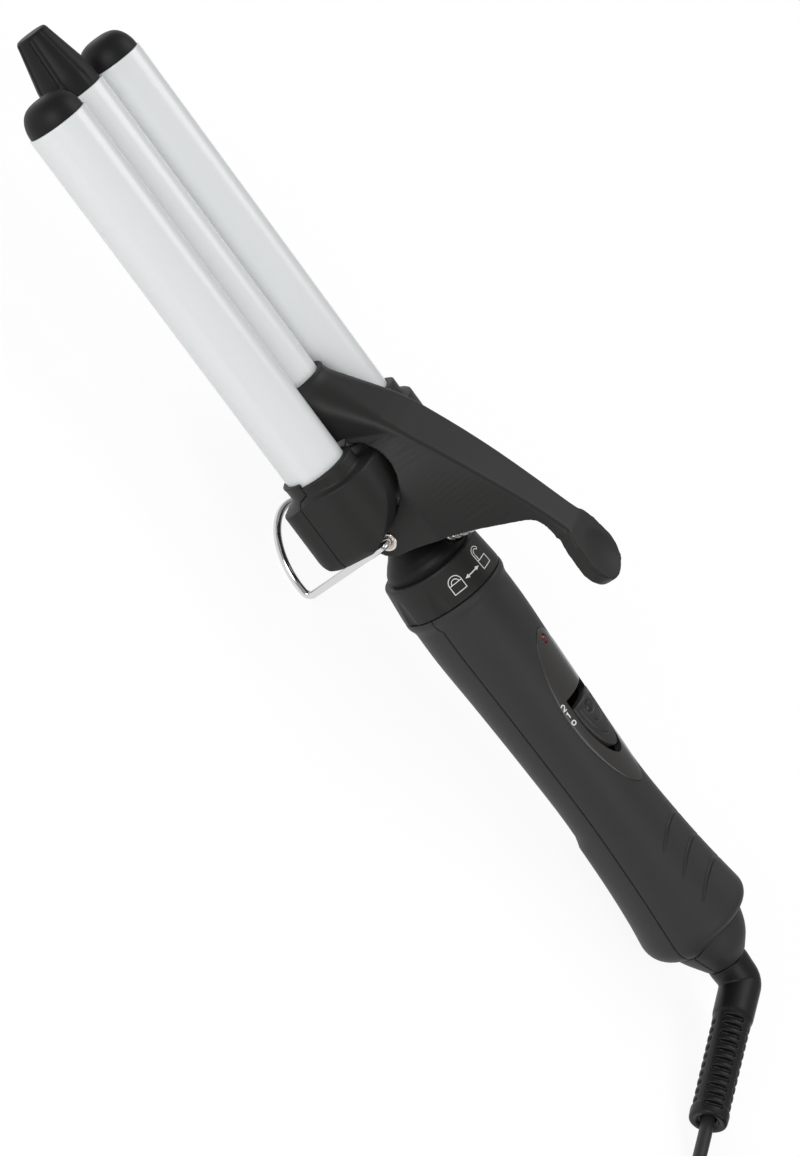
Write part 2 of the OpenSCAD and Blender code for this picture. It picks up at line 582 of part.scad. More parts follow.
stand_up() upper_handle_shell();
stand_up() lower_handle_shell();
stand_up() handle_screws();
stand_up() switch_plate();
stand_up() indicator_lens();
stand_up() switch_body();
stand_up() circuit_board();
stand_up() neck();
stand_up() jaw_upper();
stand_up() jaw_lower();
stand_up() jaw_screws();
stand_up() outer_barrel(side_y);  // left_barrel
stand_up() outer_barrel(-side_y);  // right_barrel
stand_up() tip_cap(side_y);  // left_tip_cap
stand_up() tip_cap(-side_y);  // right_tip_cap
stand_up() heat_spreader(0, 120, side_y, 0);  // left_heat_spreader
stand_up() heat_spreader(0, 120, -side_y, 0);  // right_heat_spreader
stand_up() heater(2, 118, side_y, 0);  // left_heater
stand_up() heater(2, 118, -side_y, 0);  // right_heater
stand_up() pivot_rivets();
stand_up() swivel_bush();
stand_up() lever();
stand_up() middle_barrel();
stand_up() cool_tip();
stand_up() heat_spreader(10, 120, 0, middle_z);  // middle_heat_spreader
stand_up() heater(12, 118, 0, middle_z);  // middle_heater
stand_up() lever_spring();
stand_up() lock_ring();
stand_up() switch_slider();
wire_stand();
stand_up() strain_relief();
cord_lead();
cord_coil();
cord_tail();
coil_tie();
mains_plug();
plug_pins();
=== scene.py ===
import json
from math import asin, atan2, ceil, cos, exp, pi, radians, sin, sqrt, tan

import bmesh
import bpy
from mathutils import Matrix, Vector


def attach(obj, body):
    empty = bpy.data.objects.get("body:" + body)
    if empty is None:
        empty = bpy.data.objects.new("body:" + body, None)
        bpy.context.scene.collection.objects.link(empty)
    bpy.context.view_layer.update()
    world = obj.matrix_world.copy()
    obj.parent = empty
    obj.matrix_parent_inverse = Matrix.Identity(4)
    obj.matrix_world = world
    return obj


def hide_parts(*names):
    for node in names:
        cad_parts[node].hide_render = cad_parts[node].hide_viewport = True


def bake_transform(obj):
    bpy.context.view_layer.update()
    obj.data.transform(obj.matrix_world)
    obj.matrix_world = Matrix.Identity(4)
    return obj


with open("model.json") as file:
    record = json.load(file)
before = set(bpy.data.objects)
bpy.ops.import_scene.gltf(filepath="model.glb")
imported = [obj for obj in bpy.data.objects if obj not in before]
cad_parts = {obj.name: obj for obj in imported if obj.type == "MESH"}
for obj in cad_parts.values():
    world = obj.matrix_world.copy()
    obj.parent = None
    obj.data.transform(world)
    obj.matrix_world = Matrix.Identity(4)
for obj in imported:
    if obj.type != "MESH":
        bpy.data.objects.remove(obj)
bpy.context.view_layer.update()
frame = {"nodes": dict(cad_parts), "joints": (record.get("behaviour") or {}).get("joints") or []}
print("model loaded")

# Sizes are in millimetres along the tool's own axes: x towards the tips from the rear end of the
# white barrels, y to the tool's left, z up. toolAxes stands the tool up in the model's frame.
tool = {"tilt": 4.5, "pivot": Vector((-32.3, 0, 2.8)), "axisZ": -0.8}
jointSpots = {joint["name"]: Vector(joint.get("pos_m", (0, 0, 0))) for joint in frame["joints"]}
pivotSpot = jointSpots["lever_pivot"]
millimetre = Matrix.Scale(0.001, 4)
toolAxes = (Matrix.Translation(pivotSpot) @ Matrix.Rotation(-radians(tool["tilt"]), 4, "Y")
            @ millimetre @ Matrix.Translation(-tool["pivot"]))
pivotAxes = Matrix.Translation(pivotSpot) @ millimetre


# Shapes

def blank(name, verts, faces):
    mesh = bpy.data.meshes.new(name)
    mesh.from_pydata([tuple(v) for v in verts], [], faces)
    work = bmesh.new()
    work.from_mesh(mesh)
    bmesh.ops.recalc_face_normals(work, faces=work.faces)
    work.to_mesh(mesh)
    work.free()
    thing = bpy.data.objects.new(name, mesh)
    bpy.context.scene.collection.objects.link(thing)
    return thing


def lofted(name, loops, around=False):
    # Skin over loops of equal counts, closed by a face at each end, or joined end to end
    count = len(loops[0])
    verts = [p for loop in loops for p in loop]
    steps = len(loops) if around else len(loops) - 1
    faces = [(i * count + j, i * count + (j + 1) % count,
              (i + 1) % len(loops) * count + (j + 1) % count, (i + 1) % len(loops) * count + j)
             for i in range(steps) for j in range(count)]
    if not around:
        faces += [tuple(range(count)), tuple(reversed(range(len(verts) - count, len(verts))))]
    return blank(name, verts, faces)


def softLine(corners, steps=5):
    # Corners are (x, radius, rounding); a rounded corner becomes a short curve
    line = []
    for i, corner in enumerate(corners):
        here = Vector(corner[:2])
        ease = corner[2] if len(corner) > 2 else 0
        if not ease or i in (0, len(corners) - 1):
            line.append(here)
            continue
        back = Vector(corners[i - 1][:2]) - here
        ahead = Vector(corners[i + 1][:2]) - here
        start = here + back.normalized() * min(ease, back.length * 0.49)
        end = here + ahead.normalized() * min(ease, ahead.length * 0.49)
        for k in range(steps + 1):
            t = k / steps
            line.append(start * (1 - t) ** 2 + here * 2 * t * (1 - t) + end * t * t)
    return line


def turned(name, line, y=0, z=0, around=160, shape=None, hollow=False):
    # Turned about the tool's x axis; shape(x, radius, angle) can press marks into it
    loops = []
    for x, radius in line:
        loop = []
        for j in range(around):
            angle = 2 * pi * j / around
            r = shape(x, radius, angle) if shape else radius
            r = max(r, 0.02)
            loop.append((x, y + r * sin(angle), z + r * cos(angle)))
        loops.append(loop)
    return lofted(name, loops, around=hollow)


def smoothed(points, steps):
    line = []
    for i in range(len(points) - 1):
        a, b = Vector(points[max(i - 1, 0)]), Vector(points[i])
        c, d = Vector(points[i + 1]), Vector(points[min(i + 2, len(points) - 1)])
        for k in range(steps):
            t = k / steps
            line.append((2 * b + (c - a) * t + (2 * a - 5 * b + 4 * c - d) * t * t
                         + (3 * b - a - 3 * c + d) * t ** 3) / 2)
    line.append(Vector(points[-1]))
    return line


def tube(name, path, radius, sides=24):
    path = [Vector(p) for p in path]
    loops = []
    up = None
    for i, spot in enumerate(path):
        along = (path[min(i + 1, len(path) - 1)] - path[max(i - 1, 0)]).normalized()
        if up is None:
            up = Vector((0, 0, 1)) if abs(along.z) < 0.8 else Vector((1, 0, 0))
        up = (up - along * up.dot(along)).normalized()
        side = along.cross(up)
        r = radius(i / (len(path) - 1)) if callable(radius) else radius
        loops.append([spot + r * (cos(2 * pi * j / sides) * side + sin(2 * pi * j / sides) * up)
                      for j in range(sides)])
    return lofted(name, loops)


def arc(centre, radius, start, end, steps):
    return [(centre[0] + radius * cos(radians(start + (end - start) * k / steps)),
             centre[1] + radius * sin(radians(start + (end - start) * k / steps)))
            for k in range(steps + 1)]


def prism(name, outline, across, low, high):
    # across "X": outline in y and z; "Y": in x and z; "Z": in x and y
    turn = {"X": lambda p, t: (t, p[0], p[1]), "Y": lambda p, t: (p[0], t, p[1]),
            "Z": lambda p, t: (p[0], p[1], t)}[across]
    return lofted(name, [[turn(p, t) for p in outline] for t in (low, high)])


def rod(name, across, centre, radius, low, high, steps=96):
    return prism(name, arc(centre, radius, 0, 360 * (1 - 1 / steps), steps - 1), across, low, high)


def baked(thing):
    bpy.context.view_layer.update()
    graph = bpy.context.evaluated_depsgraph_get()
    mesh = bpy.data.meshes.new_from_object(thing.evaluated_get(graph))
    thing.modifiers.clear()
    old = thing.data
    thing.data = mesh
    bpy.data.meshes.remove(old)
    return thing


def carve(thing, *tools, how="DIFFERENCE"):
    for cutter in tools:
        step = thing.modifiers.new("carve", "BOOLEAN")
        step.operation = how
        step.solver = "EXACT"
        step.object = cutter
        baked(thing)
        bpy.data.objects.remove(cutter)
    return thing


def moulded(thing, voxel, passes):
    # Even mesh with softened edges, as moulded plastic has
    step = thing.modifiers.new("even", "REMESH")
    step.mode = "VOXEL"
    step.voxel_size = voxel
    step = thing.modifiers.new("soft", "SMOOTH")
    step.factor = 0.5
    step.iterations = passes
    return baked(thing)


def softer(thing, share, passes, levels=10):
    # Rounds an even mesh further, by the share from 0 to 1 that each spot gives
    group = thing.vertex_groups.new(name="softer")
    steps = [[] for k in range(levels + 1)]
    for v in thing.data.vertices:
        steps[round(levels * min(max(share(v.co), 0), 1))].append(v.index)
    for k in range(1, levels + 1):
        group.add(steps[k], k / levels, "REPLACE")
    step = thing.modifiers.new("soft", "SMOOTH")
    step.factor = 0.5
    step.iterations = passes
    step.vertex_group = group.name
    baked(thing)
    thing.vertex_groups.clear()
    return thing


def finished(thing, body, paint, slotName, *nodes, place=toolAxes, crease=35):
    thing.data.transform(place)
    thing.data.materials.clear()
    thing.data.materials.append(paint)
    thing.data.polygons.foreach_set("use_smooth", [True] * len(thing.data.polygons))
    if crease:
        thing.data.set_sharp_from_angle(angle=radians(crease))
    if body:
        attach(thing, body)
    if nodes:
        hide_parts(*nodes)
    return thing


# Camera, floor and light

view = {"spot": (0.2492, 0.9190, 0.6316), "aim": (-0.0180, 0, 0.0183), "roll": 58.32,
        "lens": 111.74}
scene = bpy.context.scene
camera = bpy.data.objects.new("camera", bpy.data.cameras.new("camera"))
scene.collection.objects.link(camera)
scene.camera = camera
camera.data.lens = view["lens"]
camera.data.clip_start = 0.01
look = (Vector(view["aim"]) - Vector(view["spot"])).to_track_quat("-Z", "Y").to_matrix().to_4x4()
camera.matrix_world = (Matrix.Translation(view["spot"]) @ look
                       @ Matrix.Rotation(radians(view["roll"]), 4, "Z"))
scene.view_settings.view_transform = "Standard"


def newMaterial(name):
    paint = bpy.data.materials.new(name)
    paint.use_nodes = True
    return paint, paint.node_tree.nodes, paint.node_tree.links


def reckoned(tree, operation, *values):
    # A Math node; each value is a number or the socket that feeds it
    node = tree.nodes.new("ShaderNodeMath")
    node.operation = operation
    for socket, value in zip(node.inputs, values):
        if isinstance(value, bpy.types.NodeSocket):
            tree.links.new(value, socket)
        else:
            socket.default_value = value
    return node.outputs[0]


studio = {"floorSize": 6, "sky": 0.36, "white": 1.035, "whiteShare": 0.88, "lampAim": (0, 0, 0.03),
          "lamps": [("keyLamp", (0.7, 1.3, 0.75), 0.9, 11), ("fillLamp", (-1.1, 0.9, 1.2), 1.0, 6),
                    ("rimLamp", (0.2, -1.0, 1.5), 1.2, 9)]}


def layFloor():
    bpy.ops.mesh.primitive_plane_add(size=studio["floorSize"])
    floor = bpy.context.object
    floor.name = "floor"
    paint, nodes, links = newMaterial("floorPaper")
    shade = nodes["Principled BSDF"]
    shade.inputs["Base Color"].default_value = (0.9, 0.9, 0.9, 1)
    shade.inputs["Roughness"].default_value = 0.9
    glow = nodes.new("ShaderNodeEmission")
    glow.inputs["Strength"].default_value = studio["white"]
    rays = nodes.new("ShaderNodeLightPath").outputs
    seen = reckoned(paint.node_tree, "MAXIMUM", rays["Is Camera Ray"], rays["Is Glossy Ray"])
    share = reckoned(paint.node_tree, "MULTIPLY", seen, studio["whiteShare"])
    mix = nodes.new("ShaderNodeMixShader")
    links.new(share, mix.inputs[0])
    links.new(shade.outputs[0], mix.inputs[1])
    links.new(glow.outputs[0], mix.inputs[2])
    links.new(mix.outputs[0], nodes["Material Output"].inputs["Surface"])
    floor.data.materials.append(paint)


def hangLamps():
    for name, spot, size, watts in studio["lamps"]:
        lamp = bpy.data.objects.new(name, bpy.data.lights.new(name, "AREA"))
        scene.collection.objects.link(lamp)
        lamp.data.shape = "DISK"
        lamp.data.size = size
        lamp.data.energy = watts
        lamp.location = spot
        ray = Vector(studio["lampAim"]) - Vector(spot)
        lamp.rotation_euler = ray.to_track_quat("-Z", "Y").to_euler()


def paintSky():
    world = bpy.data.worlds.new("studioSky")
    scene.world = world
    world.use_nodes = True
    nodes, links = world.node_tree.nodes, world.node_tree.links
    rays = nodes.new("ShaderNodeLightPath").outputs
    seen = reckoned(world.node_tree, "MAXIMUM", rays["Is Camera Ray"], rays["Is Transmission Ray"])
    strength = nodes.new("ShaderNodeMix")
    strength.data_type = "FLOAT"
    strength.inputs["A"].default_value = studio["sky"]
    strength.inputs["B"].default_value = 1
    links.new(seen, strength.inputs["Factor"])
    nodes["Background"].inputs["Color"].default_value = (1, 1, 1, 1)
    links.new(strength.outputs[0], nodes["Background"].inputs["Strength"])


layFloor()
hangLamps()
paintSky()
print("camera and studio ready")


# Finishes

def grainGroup():
    # Fine moulded texture: a height for Bump and a roughness that varies a little
    group = bpy.data.node_groups.new("mouldedGrain", "ShaderNodeTree")
    face = group.interface
    for name, value in (("Grains per metre", 4000.0), ("Roughness", 0.5), ("Spread", 0.06)):
        socket = face.new_socket(name=name, in_out="INPUT", socket_type="NodeSocketFloat")
        socket.default_value = value
    face.new_socket(name="Height", in_out="OUTPUT", socket_type="NodeSocketFloat")
    face.new_socket(name="Roughness", in_out="OUTPUT", socket_type="NodeSocketFloat")
    nodes, links = group.nodes, group.links
    entry, leave = nodes.new("NodeGroupInput"), nodes.new("NodeGroupOutput")
    place = nodes.new("ShaderNodeTexCoord")
    grain = nodes.new("ShaderNodeTexNoise")
    grain.inputs["Detail"].default_value = 2
    links.new(place.outputs["Object"], grain.inputs["Vector"])
    links.new(entry.outputs["Grains per metre"], grain.inputs["Scale"])
    patches = nodes.new("ShaderNodeTexNoise")
    patches.inputs["Scale"].default_value = 60
    patches.inputs["Detail"].default_value = 3
    links.new(place.outputs["Object"], patches.inputs["Vector"])
    centred = reckoned(group, "SUBTRACT", patches.outputs["Fac"], 0.5)
    change = reckoned(group, "MULTIPLY_ADD", centred, entry.outputs["Spread"], entry.outputs["Roughness"])
    links.new(grain.outputs["Fac"], leave.inputs["Height"])
    links.new(change, leave.inputs["Roughness"])
    return group


mouldedGrain = grainGroup()


def finish(name, colour, rough, grain=None, depth=0.0, spread=0.06, **sockets):
    paint, nodes, links = newMaterial(name)
    shade = nodes["Principled BSDF"]
    shade.inputs["Base Color"].default_value = (*colour, 1)
    shade.inputs["Roughness"].default_value = rough
    for socket, value in sockets.items():
        shade.inputs[socket.replace("_", " ")].default_value = value
    if grain:
        surface = nodes.new("ShaderNodeGroup")
        surface.node_tree = mouldedGrain
        surface.inputs["Grains per metre"].default_value = grain
        surface.inputs["Roughness"].default_value = rough
        surface.inputs["Spread"].default_value = spread
        bump = nodes.new("ShaderNodeBump")
        bump.inputs["Distance"].default_value = depth
        bump.inputs["Strength"].default_value = 1
        links.new(surface.outputs["Height"], bump.inputs["Height"])
        links.new(surface.outputs["Roughness"], shade.inputs["Roughness"])
        links.new(bump.outputs["Normal"], shade.inputs["Normal"])
    return paint


gripPlastic = finish("gripPlastic", (0.032, 0.032, 0.033), 0.52, 3500, 0.00002,
                     Specular_IOR_Level=0.28)
jawPlastic = finish("jawPlastic", (0.0155, 0.0148, 0.0143), 0.5, 3500, 0.00002,
                    Specular_IOR_Level=0.3)
tipPlastic = finish("tipPlastic", (0.007, 0.007, 0.0072), 0.5, 3500, 0.000015,
                    Specular_IOR_Level=0.24)
switchGloss = finish("switchGloss", (0.031, 0.029, 0.028), 0.3, Coat_Weight=0.3,
                     Coat_Roughness=0.14)
sliderSatin = finish("sliderSatin", (0.026, 0.025, 0.025), 0.42, Specular_IOR_Level=0.4)
ceramic = finish("whiteCeramicCoat", (0.78, 0.80, 0.805), 0.3, 1500, 0.000004, 0.08,
                 Coat_Weight=0.5, Coat_Roughness=0.2)
chromeWire = finish("chromeWire", (0.7, 0.7, 0.71), 0.14, Metallic=1.0)
nickel = finish("warmNickel", (0.72, 0.66, 0.6), 0.2, Metallic=1.0)
steel = finish("springSteel", (0.82, 0.82, 0.8), 0.3, Metallic=1.0)
brassPins = finish("platedPins", (0.7, 0.68, 0.62), 0.22, Metallic=1.0)
rubber = finish("reliefRubber", (0.007, 0.007, 0.0073), 0.42, 2500, 0.000015,
                Specular_IOR_Level=0.3)
cordJacket = finish("cordJacket", (0.02, 0.02, 0.021), 0.45)
whiteInk = finish("whiteInk", (0.75, 0.75, 0.74), 0.5)
redLens = finish("redLens", (0.13, 0.005, 0.004), 0.2)
print("finishes ready")


# Cord, coil and plug

cordSizes = {"diameter": 4.5, "coilCentre": (-246, 80), "middleRadius": 22.5, "pitch": 4.55,
             "startAngle": 16, "pointsPerTurn": 48, "lowest": 2.3, "moveTakes": 0.12,
             "coilEdge": (-0.2222, 0.0626, 0.0072)}
leadRoute = [(-0.2098, 0.0506, 0.0076), (-0.2104, 0.0530, 0.0072), (-0.2118, 0.0578, 0.0062),
             (-0.2137, 0.0645, 0.0047), (-0.2158, 0.0722, 0.0031), (-0.2180, 0.0799, 0.00235),
             (-0.22005, 0.08744, 0.0023)]
tailRoute = [(-0.2460, 0.1070, 0.0114), (-0.2500, 0.1070, 0.0114), (-0.2565, 0.1087, 0.0102),
             (-0.2613, 0.1135, 0.0086), (-0.2630, 0.1200, 0.0074), (-0.2613, 0.1265, 0.0069),
             (-0.2565, 0.1313, 0.0069), (-0.2500, 0.1330, 0.0069), (-0.2480, 0.1330, 0.0069)]


def coilPath():
    # Bottom layer inwards, inner column up, middle column down, then the outer column up. Where a
    # turn changes its seat, the turns that have to make room move first.
    pitch, middle = cordSizes["pitch"], cordSizes["middleRadius"]
    outer, inner = middle + pitch, middle - pitch
    levels = [cordSizes["lowest"] + k * pitch for k in range(4)]
    seats = ([(outer, levels[0]), (middle, levels[0])] + [(inner, z) for z in levels]
             + [(middle, z) for z in reversed(levels[1:])] + [(outer, levels[1]), (outer, levels[2])])
    moves = [0.80, 0.80, 0.68, 0.68, 0.68, 0.56, 0.44, 0.44, 0.32, 0.21]
    count = cordSizes["pointsPerTurn"]
    steps = len(moves) * count + round(count * (90 - cordSizes["startAngle"]) / 360)
    points = []
    for k in range(steps + 1):
        turn, done = k // count, k % count / count
        following = seats[min(turn + 1, len(seats) - 1)]
        t = min(max((done - moves[turn]) / cordSizes["moveTakes"], 0), 1) if turn < len(moves) else 0
        t = t * t * (3 - 2 * t)
        radius = seats[turn][0] + (following[0] - seats[turn][0]) * t
        angle = radians(cordSizes["startAngle"]) + 2 * pi * k / count
        points.append(Vector((cordSizes["coilCentre"][0] + radius * cos(angle),
                              cordSizes["coilCentre"][1] + radius * sin(angle),
                              seats[turn][1] + (following[1] - seats[turn][1]) * t)) * 0.001)
    return points


def makeCord():
    path = smoothed(leadRoute, 3)[:-1] + coilPath() + smoothed(tailRoute, 4)[1:]
    cord = tube("mains_cord", path, cordSizes["diameter"] / 2000, sides=16)
    cord = finished(cord, None, cordJacket, "cord_jacket", place=Matrix.Identity(4), crease=0)
    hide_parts("cord_lead", "cord_coil", "cord_tail")
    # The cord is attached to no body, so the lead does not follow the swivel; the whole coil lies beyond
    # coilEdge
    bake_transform(cord)


makeCord()


# Barrels and tips

barrelSizes = {"radius": 10, "wall": 1, "apart": 45.3, "drop": 3.5, "end": 132, "socket": -18,
               "leverSocket": 6, "middleAhead": 0.8}
capSizes = {"seatRadius": 9, "seatDeep": 8, "dome": 8, "crown": 3.9, "swell": 5.6}
coneSizes = {"foot": 139, "footRadius": 9.1, "end": 155.2, "taper": 0.2375, "flutes": 7,
             "firstFlute": 18.5, "fluteHalf": 1.0, "fluteDeep": 0.55, "fluteFrom": 137.2,
             "fluteTo": 154.6}


def makeBarrel(name, start, end, y, z, body):
    outer = barrelSizes["radius"]
    bore = outer - barrelSizes["wall"]
    line = softLine([(start, bore), (start, outer), (end, outer, 0.4), (end, bore, 0.3),
                     (end - 3, bore)])
    finished(turned(name + "_skin", line, y, z, hollow=True), body, ceramic, "ceramic_coat", name)


def makeTipCap(name, y):
    end, seat, crown = barrelSizes["end"], capSizes["seatRadius"], capSizes["crown"]
    dome = [(end + 0.1 + capSizes["dome"] * sin(radians(a)), crown + capSizes["swell"] * cos(radians(a)))
            for a in range(0, 76, 5)]
    line = ([(end - capSizes["seatDeep"], 0), (end - capSizes["seatDeep"], seat), (end, seat)] + dome
            + softLine([dome[-1], (end + 8.3, crown, 0.8), (end + 8.4, 0)])[1:])
    finished(turned(name + "_moulding", line, y, 0), "handle", tipPlastic, "body_plastic", name)


def makeCoolTip():
    start, end = barrelSizes["end"] + barrelSizes["middleAhead"], coneSizes["end"]
    line = softLine([(start - 8, 0), (start - 8, 9), (start, 9), (start + 0.05, 9.3, 0.3),
                     (coneSizes["foot"], coneSizes["footRadius"], 1.5), (154.4, 5.5, 0.8),
                     (end, 4.8, 0.5), (end, 0)], 6)
    # Close rings along the straight taper carry the flutes
    low, high, steps = 139.5, 153.7, 60
    cone = [p for p in line if p[0] < low]
    for k in range(1, steps):
        x = low + 14.2 * k / steps
        cone.append(Vector((x, 9.0 - (x - 139.4) * coneSizes["taper"])))
    cone += [p for p in line if p[0] > high]
    first, count = radians(coneSizes["firstFlute"]), coneSizes["flutes"]

    def flute(x, radius, angle):
        turn = (angle - first) % (2 * pi / count)
        turn = min(turn, 2 * pi / count - turn) * radius / coneSizes["fluteHalf"]
        if turn >= 1:
            return radius
        begun, left = (x - coneSizes["fluteFrom"]) / 1.2, (coneSizes["fluteTo"] - x) / 0.6
        along = min(max(begun, 0), max(left, 0), 1)
        return radius - coneSizes["fluteDeep"] * max(0, 1 - turn * turn) ** 0.8 * sqrt(along)

    finished(turned("cool_tip_cone", cone, 0, -barrelSizes["drop"], around=420, shape=flute),
             "lever", tipPlastic, "body_plastic", "cool_tip", crease=50)


half = barrelSizes["apart"] / 2
makeBarrel("left_barrel", barrelSizes["socket"], barrelSizes["end"], half, 0, "handle")
makeBarrel("right_barrel", barrelSizes["socket"], barrelSizes["end"], -half, 0, "handle")
makeBarrel("middle_barrel", barrelSizes["leverSocket"], barrelSizes["end"] + barrelSizes["middleAhead"],
           0, -barrelSizes["drop"], "lever")
makeTipCap("left_tip_cap", half)
makeTipCap("right_tip_cap", -half)
makeCoolTip()
print("barrels ready")


# Handle shells

handle = {"front": -62.6, "seam": -1.0, "gap": 0.3, "edge": 0.35, "wall": 2.4, "room": 14.6,
          "frontBore": 12.9, "boreRadius": 7.0, "screws": (-104, -176), "screwHole": 2.9}
gripKeys = [(-67.5, 17.35), (-80, 17.35), (-100, 16.45), (-125, 15.6), (-148, 15.2), (-168, 16.2),
            (-184, 17.6), (-199, 19.5)]
gripLine = smoothed(gripKeys, 10)


def gripRadius(x):
    for a, b in zip(gripLine, gripLine[1:]):
        if b[0] <= x <= a[0]:
            return a[1] + (b[1] - a[1]) * (x - a[0]) / (b[0] - a[0])
    return gripLine[0][1] if x > gripLine[0][0] else gripLine[-1][1]


def rearLine(turn, notch, belly, end):
    # From the grip's widest place round the corner and down the tail, as (x, radius)
    x, radius = turn
    widest = gripKeys[-1][1]
    corner = [(x - radius * sin(radians(a)), widest - radius + radius * cos(radians(a)))
              for a in range(4, 83, 6)]
    return corner + softLine([corner[-1], notch, belly, end, (end[0] - 0.3, end[1] - 0.4)])[1:]


# The lower shell ends in a round turn, and the upper one in a tighter turn and a fuller tail
rearEnds = {"lower": rearLine((-199.9, 8.2), (-208.4, 13.5, 0.6), (-212.5, 11.6, 2),
                              (-219.1, 7.7, 0.3)),
            "upper": rearLine((-199.6, 4.6), (-204.2, 14.9, 1.2), (-212.8, 12.8, 4.5),
                              (-219.1, 8.1, 0.3))}


def shellLine(rear):
    front = handle["front"]
    return (softLine([(front, 13.2), (front, 18.25, 0.5), (-64.4, 18.35, 0.9), (-66.2, 17.6, 0.9),
                      gripKeys[0]])
            + gripLine[1:] + [Vector(p) for p in rearEnds[rear]])


def seamHeight(x):
    # The joint steps down behind the lock ring
    t = min(max((-66.4 - x) / 1.6, 0), 1)
    return handle["seam"] - 0.7 * (1 - t * t * (3 - 2 * t))


def fingerRest(x, angle):
    # Pad under the grip, behind a soft step; angle is from straight down
    if x > -155 or x < -192:
        return 0
    rise = min((-155 - x) / 3, 1)
    along = rise * rise * (3 - 2 * rise) * min((x + 192) / 34, 1)
    side = min(max((70 - abs(angle)) / 35, 0), 1)
    return 0.9 * along * side * side * (3 - 2 * side)


def shellSection(spot, fuller, upper, steps=88):
    x, outer = spot
    side = 1 if upper else -1
    lip = side * seamHeight(x) + handle["gap"] / 2
    inner = max(min(outer - handle["wall"], handle["room"]), handle["boreRadius"])
    if x > -65:
        inner = handle["frontBore"]
    elif x < -205:
        inner = handle["boreRadius"]
    edge = min(handle["edge"], (outer - inner) * 0.4)
    centre = (sqrt((outer - edge) ** 2 - (lip + edge) ** 2), lip + edge)
    away = atan2(centre[1], centre[0])
    points = []
    for k in range(5):
        a = -pi / 2 + (away + pi / 2) * k / 4
        points.append((centre[0] + edge * cos(a), centre[1] + edge * sin(a)))
    for k in range(1, steps):
        a = away + (pi - 2 * away) * k / steps
        if upper:
            t = min(sin(a) / 0.7, 1)
            along, r = spot.lerp(fuller, t * t * (3 - 2 * t))
        else:
            along, r = x, outer + fingerRest(x, 90 - a * 180 / pi)
        points.append((r * cos(a), r * sin(a), along))
    for k in range(5):
        a = pi - away + (away + pi / 2) * k / 4
        points.append((-centre[0] + edge * cos(a), centre[1] + edge * sin(a)))
    low = asin(lip / inner)
    for k in range(33):
        a = pi - low - (pi - 2 * low) * k / 32
        points.append((inner * cos(a), inner * sin(a)))
    return [(p[2] if len(p) > 2 else x, p[0], tool["axisZ"] + side * p[1]) for p in points]


def shell(name, upper):
    pairs = zip(shellLine("lower"), shellLine("upper"))
    return lofted(name, [shellSection(spot, fuller, upper) for spot, fuller in pairs])


# Pieces let into the top of the grip are drawn in plan, and their height follows the grip
def inlay(name, front, rear, halfWidth, low, high, columns=70, rows=28, relief=None, ease=0.0):
    loops = []
    for i in range(columns + 1):
        x = front + (rear - front) * (1 - cos(pi * i / columns)) / 2
        wide = max(halfWidth(x), 0.03)
        loop = []
        for j in range(rows + 1):
            y = -wide * cos(pi * j / rows)
            near = min(wide - abs(y), abs(x - front), abs(x - rear))
            lift = high + (relief(x, y) if relief else 0)
            if ease:
                lift -= ease * max(0, 1 - near / (2 * ease)) ** 2
            r = gripRadius(x) + lift
            loop.append((x, y, tool["axisZ"] + sqrt(r * r - y * y)))
        for j in range(rows + 1):
            y = wide * cos(pi * j / rows)
            r = gripRadius(x) + low
            loop.append((x, y, tool["axisZ"] + sqrt(r * r - y * y)))
        loops.append(loop)
    return lofted(name, loops)


plate = {"front": -87, "rear": -148.5, "half": 10.3, "fuller": 0.08, "seat": -1.3, "proud": 0.2,
         "gap": 0.2, "ease": 0.15}
slider = {"front": -114, "length": 19.5, "half": 7.2, "travel": 2.6, "ahead": 1.2, "low": -2.4,
          "proud": 0.45, "ease": 0.25, "dimple": (-117.5, 0.6), "dimpleDeep": 1.6,
          "dimpleHalf": (1.9, 2.1), "grooves": [(9.5, 4.2), (14.5, 5.7)], "grooveDeep": 0.42,
          "grooveWide": 0.26}
lens = {"x": -90.7, "radius": 1.64, "foot": 10, "shoulder": 15.55, "dome": 0.95, "shellHole": 1.7,
        "plateHole": 1.68}
fingerGrooves = {"tops": (-164.6, -175.0, -185.4), "reach": 42, "sweep": 4.6, "sweepAt": 37,
                 "high": 0.15, "thin": 0.3, "thicker": 0.65}


def plateHalf(x, grow=0.0):
    middle = (plate["front"] + plate["rear"]) / 2
    reach = (plate["front"] - plate["rear"]) / 2 + grow
    u = max(-1, min(1, (x - middle) / reach))
    return (plate["half"] + grow) * sqrt(1 - u * u) * (1 + plate["fuller"] * u)


def bulletHalf(x, front, straight, length, wide):
    back = max(0, front - straight - x) / length
    return wide * sqrt(max(0, 1 - back * back))


def slotCutter(name, low):
    front = slider["front"] + slider["travel"] + slider["ahead"]
    straight = 2 * slider["travel"] + slider["ahead"] + 0.1
    length, wide = slider["length"] + 0.2, slider["half"] + 0.4
    return inlay(name, front, front - straight - length,
                 lambda x: bulletHalf(x, front, straight, length, wide), low, 3)


def gripGroove(top):
    # One finger groove over the top of the grip, swept back at its ends
    path = []
    reach = fingerGrooves["reach"]
    for k in range(41):
        a = radians(-reach + 2 * reach * k / 40)
        x = top - fingerGrooves["sweep"] * (a / radians(fingerGrooves["sweepAt"])) ** 2
        r = gripRadius(x) + fingerGrooves["high"]
        path.append((x, r * sin(a), tool["axisZ"] + r * cos(a)))
    thin, thicker = fingerGrooves["thin"], fingerGrooves["thicker"]
    return tube("groove", path, lambda t: thin + thicker * sin(pi * t) ** 0.5, sides=14)


